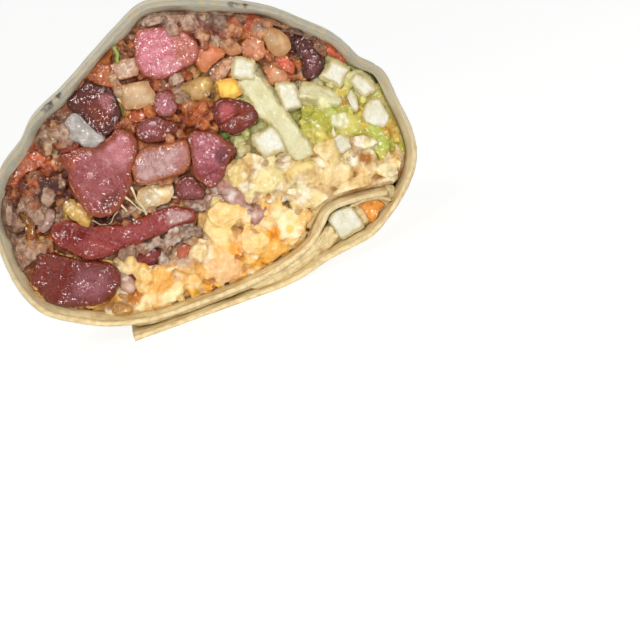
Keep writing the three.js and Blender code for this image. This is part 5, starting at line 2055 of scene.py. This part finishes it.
MEAT_BEDS = tuple(
    part.node for part in (
        *Sausages.slices, *ONIONS.morsels, *TOMATOES.morsels, *CHEESES.morsels, *BEEF_STRIPS.morsels,
    ) if part.node not in ("onion_low", "tomato_low", "cheddar_wedge")
)
MEAT = Filling(
    "meat_mix", MEAT_BED, "#A86C46",
    (
        Patch(-43, 34, 7, "#A5856C"), Patch(-29, 50.5, 5, "#B09478"), Patch(-36, 45, 6, "#C27040"),
        Patch(-33, 43.6, 3, "#CC6A20"), Patch(-13, 59, 6, "#D8884E"), Patch(-7, 62, 4, "#D09A68"),
        Patch(-10.8, 51, 2.6, "#C98838"), Patch(3, 67.5, 6, "#CDB4A0"), Patch(15, 61.5, 5.5, "#988070"),
        Patch(11.5, 60, 3.5, "#8A4A44"), Patch(21, 58, 5, "#D0784A"), Patch(26, 52, 6, "#DCA070"),
        Patch(24, 46, 5, "#E4B080"), Patch(5, 45, 7, "#C4763E"), Patch(2, 42, 4, "#BE642E"),
        Patch(7, 49.5, 5, "#BE9A58"), Patch(-4, 55, 5, "#A0583A"), Patch(-33, 38.6, 4.6, "#4C241A"),
        Patch(-33, 33, 4, "#A88458"), Patch(-13, 28.5, 6, "#D2AC82"), Patch(-12, 19, 9, "#CFBEAE"),
        Patch(-24, 16.5, 4, "#B09070"), Patch(-41, 27, 5, "#C08040"), Patch(31, 51, 3, "#54261C"),
        # The two patches below, in the gap between the two-lobed sausage's tip and the long strip, are
        # painted shade.
        Patch(-24.5, 28.6, 2.2, "#421A12"), Patch(-19.5, 26.6, 1.8, "#421A12"),
    ),
    Relief(0.6, 3.0, 0.5, 1.2, 0.8, 0.6, 4.0), curds=MEAT_CURDS, embedded=MEAT_BEDS, raised=2.2, smoothing=1,
)
POTATOES = Filling(
    "potato_cream", POTATO, "#DFC888",
    (
        Patch(14, 25, 6, "#E6D69C"), Patch(24, 24, 6, "#E8D494"), Patch(10, 19, 4, "#D8B898"),
        Patch(30, 17, 8, "#F0E0B4"), Patch(27, 20.5, 4, "#EAD29C"), Patch(35, 17, 4, "#EACE94"),
        Patch(20, 20, 3, "#F6EBD2"), Patch(37.5, 25, 3, "#F8EFDC"), Patch(36.6, 21.5, 1.8, "#A8641E"),
        Patch(42.4, 16, 1.6, "#9A6224"), Patch(38.6, 15.4, 1.4, "#B06E1E"), Patch(45, 21, 3.5, "#DDB85C"),
        Patch(40, 13.5, 3, "#E8D6AA"),
    ),
    Relief(1.0, 3.4, 0.6, 2.4, 0.9, 0.8, 6.0), curds=POTATO_CURDS,
    embedded=("cream_sauce", "fry_in_guacamole_low"), raised=0.8, grow=0.9,
)
CHEESY_POTATOES = Filling(
    "cheesy_potato", CHEESY, "#EEC27A",
    (
        Patch(-24.5, 7.5, 3.5, "#F4E4B4"), Patch(-15.5, 7.6, 4.5, "#F6E4AE"),
        Patch(-17.5, 12.5, 4.5, "#EAB460"), Patch(-5.2, 13, 2.6, "#F0E2C4"), Patch(-1.5, 8, 4.5, "#F2C896"),
        Patch(0, 18, 4.8, "#F3DCA0"), Patch(4.4, 12.4, 3.2, "#F2CE9A"), Patch(9.4, 9.2, 3.8, "#F2BC5C"),
        Patch(14, 15.4, 4, "#F5E6BA"), Patch(15.4, 10.4, 3, "#F3E6C4"), Patch(-24, 10.5, 2.5, "#C07830"),
        Patch(-29, 8, 3.5, "#A87A48"), Patch(-10, 15.6, 4, "#CCB09A"), Patch(5, 6.2, 2.2, "#F5AE1E"),
        Patch(10.5, 12.6, 1.8, "#F4A22C"), Patch(-7.7, 4.6, 1.6, "#F2B43A"),
    ),
    Relief(0.8, 4.0, 0.7, 1.8, 0.8, 0.9, 8.0), curds=CHEESY_CURDS,
    embedded=("onion_low", "tomato_low", "cream_sauce", "sausage_low_strip", "sausage_low_left"), raised=0.6,
)
AVOCADO = Filling(
    "guacamole", GUACAMOLE, "#BDB94E",
    (
        Patch(30.6, 33, 3, "#AFA83A"), Patch(28, 29.5, 3, "#E2D074"), Patch(34, 35, 2.5, "#CAD078"),
        Patch(38, 37, 4, "#C2C470"), Patch(41.5, 25, 4, "#B2B850"), Patch(36, 29.5, 3.5, "#CCC26A"),
        Patch(37, 24, 3, "#E6E2AA"), Patch(46, 26, 3, "#C8963A"), Patch(45, 32, 3, "#CDBE74"),
    ),
    Relief(0.9, 3.6, 0.55, 1.7, 0.55, 0.8, 10.0), curds=AVOCADO_CURDS, embedded=SINGLE_FRIES, raised=0.4,
    recess=1.7, grow=0.8,
)
FRY_CORE = Filling(
    "fries", GUACAMOLE, "#CFC98E",
    (
        Patch(13, 34.5, 4, "#DBD9AC"), Patch(12, 32, 2.5, "#B07C66"), Patch(11, 29.5, 3, "#E4D6AA"),
        Patch(29, 43.5, 3, "#CFAA7C"), Patch(33.5, 41, 3, "#A8884E"), Patch(29, 37.5, 3, "#C6CC82"),
        Patch(38.5, 38, 3, "#CDD298"), Patch(24, 33, 4, "#E0B98A"), Patch(21, 36, 4, "#E6DDA4"),
        Patch(43.5, 41.5, 3, "#D2BC80"),
    ),
    Relief(0.7, 3.0, 0.5, 1.6, 0.5, 0.7, 12.0), curds=FRY_CURDS,
    embedded=("fry_in_guacamole_top", "sausage_round_end", "tomato_rim"), raised=0.2, recess=2.6,
)


@dataclass
class Fries:
    """The bundle of fries, the sticks that show in it, and the fries that stand alone.

    A stick runs from its cut end to its far end, each as X, depth behind the rim plane, and Z, and
    then come its width, its height and its roll in degrees.
    """

    sticks: tuple[tuple[Place, Place, float, float, float], ...] = (
        ((17.9, 3.0, 48.2), (24.4, 3.8, 26.4), 4.9, 4.9, 0),
        ((17.3, 0.3, 50.2), (18.4, 9.0, 49.0), 4.6, 4.4, -32),
        ((25.0, 0.6, 40.8), (26.4, 22, 38.6), 4.1, 5.8, -8),
        ((36.9, 0.3, 42.1), (34.8, 24, 41.2), 4.9, 4.9, 38),
        ((42.1, 0.6, 37.6), (39.0, 24, 38.0), 4.1, 5.4, 22),
        ((27.6, 2.2, 40.6), (35.8, 3.2, 35.9), 3.9, 3.9, 0), ((17.1, 0.6, 32.4), (18.4, 24, 32), 5.7, 5.4, 4),
    )
    alone: tuple[str, ...] = (*SINGLE_FRIES, "fry_by_seam")
    end_colour: str = "#E3E1D2"
    side_colour: str = "#DCD7B2"
    crust_colour: str = "#BEA65C"
    relief: Relief = Relief(0.7, 3.0, 0.3, 1.2, 0.4, 0.5)
    smoothing: int = 8
    voxel: float = 0.3
    grow_bundled: float = 0.3
    grow_alone: float = 0.4
    ragged: float = 0.8
    trim: float = 0.3
    slope: tuple[float, float] = (0.06, -0.05)

    def build(self, kitchen: Kitchen) -> None:
        """Makes the bundle and the single fries.

        Args:
            kitchen: what the sub-assemblies share.
        """
        sticks = [self._stick(kitchen, number, *stick) for number, stick in enumerate(self.sticks)]
        kitchen.serve(joined("fry_sticks", sticks), FRY.slot, "fries")
        for number, node in enumerate(self.alone):
            piece = cad_copy(f"{node}_piece", node)
            kitchen.soften(piece, self.voxel, self.smoothing, self.grow_alone)
            walled = node in SINGLE_FRIES
            kitchen.cut(piece.data, self.trim, self.slope, ragged=self.ragged, walled=walled)
            self._finish(kitchen, piece, 30.0 + number, Vector((0, 1, 0)))
            kitchen.serve(piece, FRY.slot, node)

    def _stick(
        self, kitchen: Kitchen, number: int, start: Place, end: Place, width: float, height: float,
        roll: float,
    ) -> Piece:
        """Makes one stick of potato.

        Args:
            kitchen: what the sub-assemblies share.
            number: the stick's number, which seeds its relief.
            start: its cut end.
            end: its far end.
            width: its width.
            height: its height.
            roll: its turn about its own length, in degrees.

        Returns:
            The stick.
        """
        middle = AT_RIM + (Vector(start) + Vector(end)) / 2
        axis = Vector(end) - Vector(start)
        pose = Vector((0, 1, 0)).rotation_difference(axis)
        spin = Quaternion((0, 1, 0), math.radians(-roll))
        size = Vector((width, axis.length, height))
        stick = box_object(-size / 2 * MM, size / 2 * MM)
        stick.name = f"fry_stick_{number}"
        turn = (pose @ spin).to_matrix().to_4x4()
        stick.data.transform(Matrix.Translation(middle * MM) @ turn)
        kitchen.soften(stick, self.voxel, self.smoothing, self.grow_bundled)
        kitchen.cut(stick.data, 0.0, (0.0, 0.0), ragged=self.ragged)
        self._finish(kitchen, stick, 20.0 + number, axis.normalized())
        return stick

    def _finish(self, kitchen: Kitchen, stick: Piece, seed: float, axis: Vector) -> None:
        """Roughens a stick and colours its mealy ends white, their borders tan and its sides yellow."""
        across = np.abs(normals(stick.data) @ np.array(axis))
        shown = smoothstep(0.3, 0.6, facing(stick.data))
        rim = inside_outline(stick.data, 3.0)
        kitchen.carve(stick, replace(self.relief, seed=seed), FRY)
        wander = 1 + 0.7 * ripple(positions(stick.data), 1.8 * MM, int(seed))
        crust = 0.8 * (1 - smoothstep(0.1, 0.9, rim * wander)) * shown
        tint = paint(stick.data, self.side_colour)
        for share, colour in ((smoothstep(0.5, 0.85, across), self.end_colour), (crust, self.crust_colour)):
            tint = laid_over(tint, colour, share)
        store_tint(stick.data, tint)


# ==== Crumbs, threads and leaves between the larger pieces ====


@dataclass
class CheeseThreads:
    """Melted cheese pulled into threads between pieces.

    A thread runs from point to point, each X, depth behind the rim plane, and Z, with its thickness
    at the ends and in the middle, and its sag, all in millimetres.
    """

    threads: tuple[tuple[Place, Place, float, float, float], ...] = (
        ((-19.8, 1.2, 31.2), (-17.4, 1.6, 25.4), 1.2, 0.4, 0.4),
        ((-18.2, 1.4, 32.2), (-13.2, 1.8, 26.2), 1.1, 0.32, 0.9),
        ((-16.0, 1.4, 33.8), (-14.8, 1.8, 26.2), 1.0, 0.4, 0.2),
        ((-20.6, 2.6, 29.6), (-24.8, 3.2, 27.2), 0.7, 0.3, 0.5),
        ((-12.6, 2.4, 31.8), (-6.2, 3.4, 27.6), 1.1, 0.5, 0.8),
        ((-28.6, 2.8, 30.8), (-24.4, 3.2, 27.4), 0.8, 0.3, 0.5),
        ((-11.8, 2.2, 53.6), (-10.6, 2.8, 48.4), 1.0, 0.6, 0.2),
        ((40.2, 3.4, 24.0), (44.6, 3.6, 28.2), 0.9, 0.4, 0.4),
    )
    colour: str = "#DCCCA8"
    relief: Relief = Relief(0.2, 1.2, 0.0, 1.0, 0.08, 0.5, 3.0)
    rings: int = 26
    sides: int = 10

    def build(self, kitchen: Kitchen) -> None:
        """Makes the threads.

        Args:
            kitchen: what the sub-assemblies share.
        """
        tubes = [self.tube(number, *thread) for number, thread in enumerate(self.threads)]
        piece = join_shells("cheese_threads", tubes)
        kitchen.carve(piece, self.relief, CHEESE)
        store_tint(piece.data, paint(piece.data, self.colour))
        kitchen.serve(piece, CHEESE.slot)

    def tube(
        self, number: int, start: Place, end: Place, thick: float, thin: float, sag: float,
    ) -> tuple[Array, Faces]:
        """Works out one thread's points and faces."""
        first, last = Vector(start), Vector(end)
        along = (last - first).normalized()
        side = along.cross(Vector((0, 1, 0))).normalized()
        up = side.cross(along)
        points = []
        for ring in range(self.rings):
            t = ring / (self.rings - 1)
            bow = 4 * t * (1 - t)
            wobble = 0.25 * math.sin(7 * t + number)
            centre = AT_RIM + first.lerp(last, t) + side * wobble * bow + Vector((0, 0, -sag * bow))
            radius = (thin + (thick - thin) * (1 - bow) ** 2) / 2
            closing = math.sqrt(max(0.0, 1 - abs(2 * t - 1) ** 12))
            for corner in range(self.sides):
                angle = corner / self.sides * math.tau
                spoke = side * math.cos(angle) + up * math.sin(angle)
                points.append((centre + spoke * radius * closing) * MM)
        return np.array(points), ring_faces(self.rings, self.sides)


@dataclass
class Coriander:
    """Torn coriander: leaves and a stem, caught between the pieces.

    A leaf is its place as X, depth behind the rim plane, and Z, its length, its width and its turn.
    """

    leaves: tuple[tuple[Place, float, float, float], ...] = (
        ((-11.4, 2.4, 51.8), 5.4, 2.2, 84), ((-10.8, 2.6, 50.2), 3.2, 1.8, 40),
        ((8.4, 2.4, 37.4), 3.4, 1.6, 10), ((-6.2, 2.8, 42.2), 2.0, 1.0, 60),
        ((30.2, 3.2, 47.8), 2.4, 1.2, -50),
    )
    stem: tuple[Place, Place, float] = ((-8.9, 1.6, 60.8), (-8.4, 2.0, 64.8), 1.15)
    leaf_relief: Relief = Relief(0.3, 1.4, 0.0, 1.0, 0.1, 0.5, 6.0)
    stem_relief: Relief = Relief(0.12, 1.4, 0.0, 1.0, 0.05, 0.5, 6.0)
    thickness: float = 0.35
    spokes: int = 36
    rings: int = 5

    def build(self, kitchen: Kitchen) -> None:
        """Makes the leaves and the stem.

        Args:
            kitchen: what the sub-assemblies share.
        """
        blades = [self._blade(number, *leaf) for number, leaf in enumerate(self.leaves)]
        leaves = join_shells("coriander_leaves", blades)
        kitchen.carve(leaves, self.leaf_relief, LEAF)
        kitchen.serve(leaves, LEAF.slot)
        start, end, thick = self.stem
        stem = join_shells("coriander_stem", [CheeseThreads().tube(1, start, end, thick, thick * 0.8, 0.0)])
        kitchen.carve(stem, self.stem_relief, STEM)
        kitchen.serve(stem, STEM.slot)

    def _blade(
        self, number: int, place: Place, length: float, width: float, turn: float,
    ) -> tuple[Array, Faces]:
        """Works out one leaf's points and faces."""
        lean = math.radians(turn)
        points = []
        for layer in (-0.5, 0.5):
            for ring in range(self.rings + 1):
                reach = ring / self.rings
                for spoke in range(self.spokes):
                    angle = spoke / self.spokes * math.tau
                    lobes = 1 + 0.22 * math.cos(5 * angle + number) + 0.08 * math.cos(11 * angle)
                    x = length / 2 * reach * lobes * math.cos(angle)
                    z = width / 2 * reach * lobes * math.sin(angle)
                    curl = 0.35 * math.sin(2.2 * x + number) + 0.25 * (z / width) ** 2
                    depth = curl + layer * self.thickness * (1 - reach**4)
                    turned = (
                        x * math.cos(lean) - z * math.sin(lean), depth,
                        x * math.sin(lean) + z * math.cos(lean),
                    )
                    points.append((AT_RIM + Vector(place) + Vector(turned)) * MM)
        count = self.rings + 1
        faces = ring_faces(count, self.spokes) + ring_faces(count, self.spokes, count * self.spokes)
        return np.array(points), faces


# ==== The studio ====


@dataclass
class Studio:
    """A pale sweep, soft light from the front and above, and the camera.

    A lamp is its name, its place, its size in metres and its power in watts.
    """

    frame_pixels: int = 640
    face_at: tuple[float, float] = (193.0, 153.0)
    pixels_per_metre: float = 4390.0
    distance: float = 0.45
    sensor: float = 36.0
    elevation: float = 2.0
    roll: float = 20.0
    floor_colour: str = "#FFFFFF"
    floor_paint: str = "#8C8C8A"
    floor_glow: float = 0.8
    sky_light: float = 0.35
    lamps: tuple[tuple[str, Place, float, float], ...] = (
        ("key", (-0.22, -0.62, 0.5), 0.22, 1.9), ("fill", (0.5, -0.5, 0.25), 0.4, 0.6),
        ("glint", (-0.05, -0.5, 0.15), 0.05, 0.8),
    )

    def build(self) -> None:
        """Sets up the floor, the lights and the camera."""
        self._sweep()
        self._world()
        for lamp in self.lamps:
            self._lamp(*lamp)
        self._camera()
        bpy.context.scene.view_settings.view_transform = "Standard"

    def _sweep(self) -> None:
        """Lays a floor that curves up into a backdrop."""
        half_width, near, far, rise, bend = 3.0, -0.6, 1.6, 2.4, 1.0
        profile = [(near, 0.0), (far - bend, 0.0)]
        for step in range(1, 13):
            angle = step / 12 * math.pi / 2
            profile.append((far - bend + bend * math.sin(angle), bend - bend * math.cos(angle)))
        profile.append((far, rise))
        points = [(x, y, z) for y, z in profile for x in (-half_width, half_width)]
        faces = [(2 * i, 2 * i + 1, 2 * i + 3, 2 * i + 2) for i in range(len(profile) - 1)]
        mesh = bpy.data.meshes.new("sweep")
        mesh.from_pydata(points, [], faces)
        mesh.shade_smooth()
        material, tree = new_material("painted_sweep")
        shader = add_node(
            tree, "ShaderNodeBsdfPrincipled",
            links={
                "Base Color": linear(self.floor_paint), "Roughness": 0.9,
                "Emission Color": linear(self.floor_colour), "Emission Strength": self.floor_glow,
            },
        )
        add_node(tree, "ShaderNodeOutputMaterial", links={"Surface": shader.outputs[0]})
        mesh.materials.append(material)
        add_object("sweep", mesh)

    def _world(self) -> None:
        """Lights the scene evenly from all round."""
        world = bpy.data.worlds.new("soft_sky")
        world.use_nodes = True
        tree = world.node_tree
        tree.nodes.clear()
        sky = add_node(
            tree, "ShaderNodeBackground", links={"Color": (1.0, 1.0, 1.0, 1.0), "Strength": self.sky_light},
        )
        add_node(tree, "ShaderNodeOutputWorld", links={"Surface": sky.outputs[0]})
        bpy.context.scene.world = world

    def _lamp(self, name: str, place: Place, size: float, power: float) -> None:
        """Hangs a square lamp that faces the food.

        Args:
            name: the lamp's name.
            place: where it hangs.
            size: the length of its side, in metres.
            power: its power, in watts.
        """
        lamp = bpy.data.lights.new(name, "AREA")
        lamp.shape = "SQUARE"
        lamp.size = size
        lamp.energy = power
        hung = bpy.data.objects.new(name, lamp)
        hung.location = place
        hung.rotation_euler = (FACE_CENTRE - Vector(place)).to_track_quat("-Z", "Y").to_euler()
        bpy.context.scene.collection.objects.link(hung)

    def _camera(self) -> None:
        """Places the camera in front of the cut face, rolled, with the face off the centre."""
        data = bpy.data.cameras.new("camera")
        data.sensor_width = self.sensor
        data.lens = self.sensor * self.distance * self.pixels_per_metre / self.frame_pixels
        data.clip_start = 0.01
        camera = bpy.data.objects.new("camera", data)
        bpy.context.scene.collection.objects.link(camera)
        lift = math.radians(self.elevation)
        away = Vector((0, -math.cos(lift), math.sin(lift)))
        roll = math.radians(self.roll)
        right = Vector((math.cos(roll), 0, -math.sin(roll)))
        up = away.cross(right).normalized()
        right = up.cross(away)
        level = Matrix((right, up, away)).transposed()
        half = self.frame_pixels / 2
        seen = Vector(
            (
                (self.face_at[0] - half) / self.pixels_per_metre,
                (half - self.face_at[1]) / self.pixels_per_metre, -self.distance,
            )
        )
        aim = (level @ seen).rotation_difference(-away)
        camera.location = FACE_CENTRE + away * seen.length
        camera.rotation_euler = (aim.to_matrix() @ level).to_euler()
        bpy.context.scene.camera = camera


def main() -> None:
    """Builds the half burrito, one sub-assembly after another."""
    logging.basicConfig(level=logging.INFO, format="%(name)s %(message)s")
    kitchen = Kitchen()
    Studio().build()
    Tortilla().build(kitchen)
    Fries().build(kitchen)
    Sausages().build(kitchen)
    for morsels in (ONIONS, TOMATOES, CHEESES, CREAMS, BEEF_STRIPS):
        morsels.build(kitchen)
    for filling in (MEAT, POTATOES, CHEESY_POTATOES, AVOCADO, FRY_CORE):
        filling.build(kitchen)
    CheeseThreads().build(kitchen)
    Coriander().build(kitchen)
    LOG.info("%d pieces", len(kitchen.made))


if __name__ == "__main__":
    main()
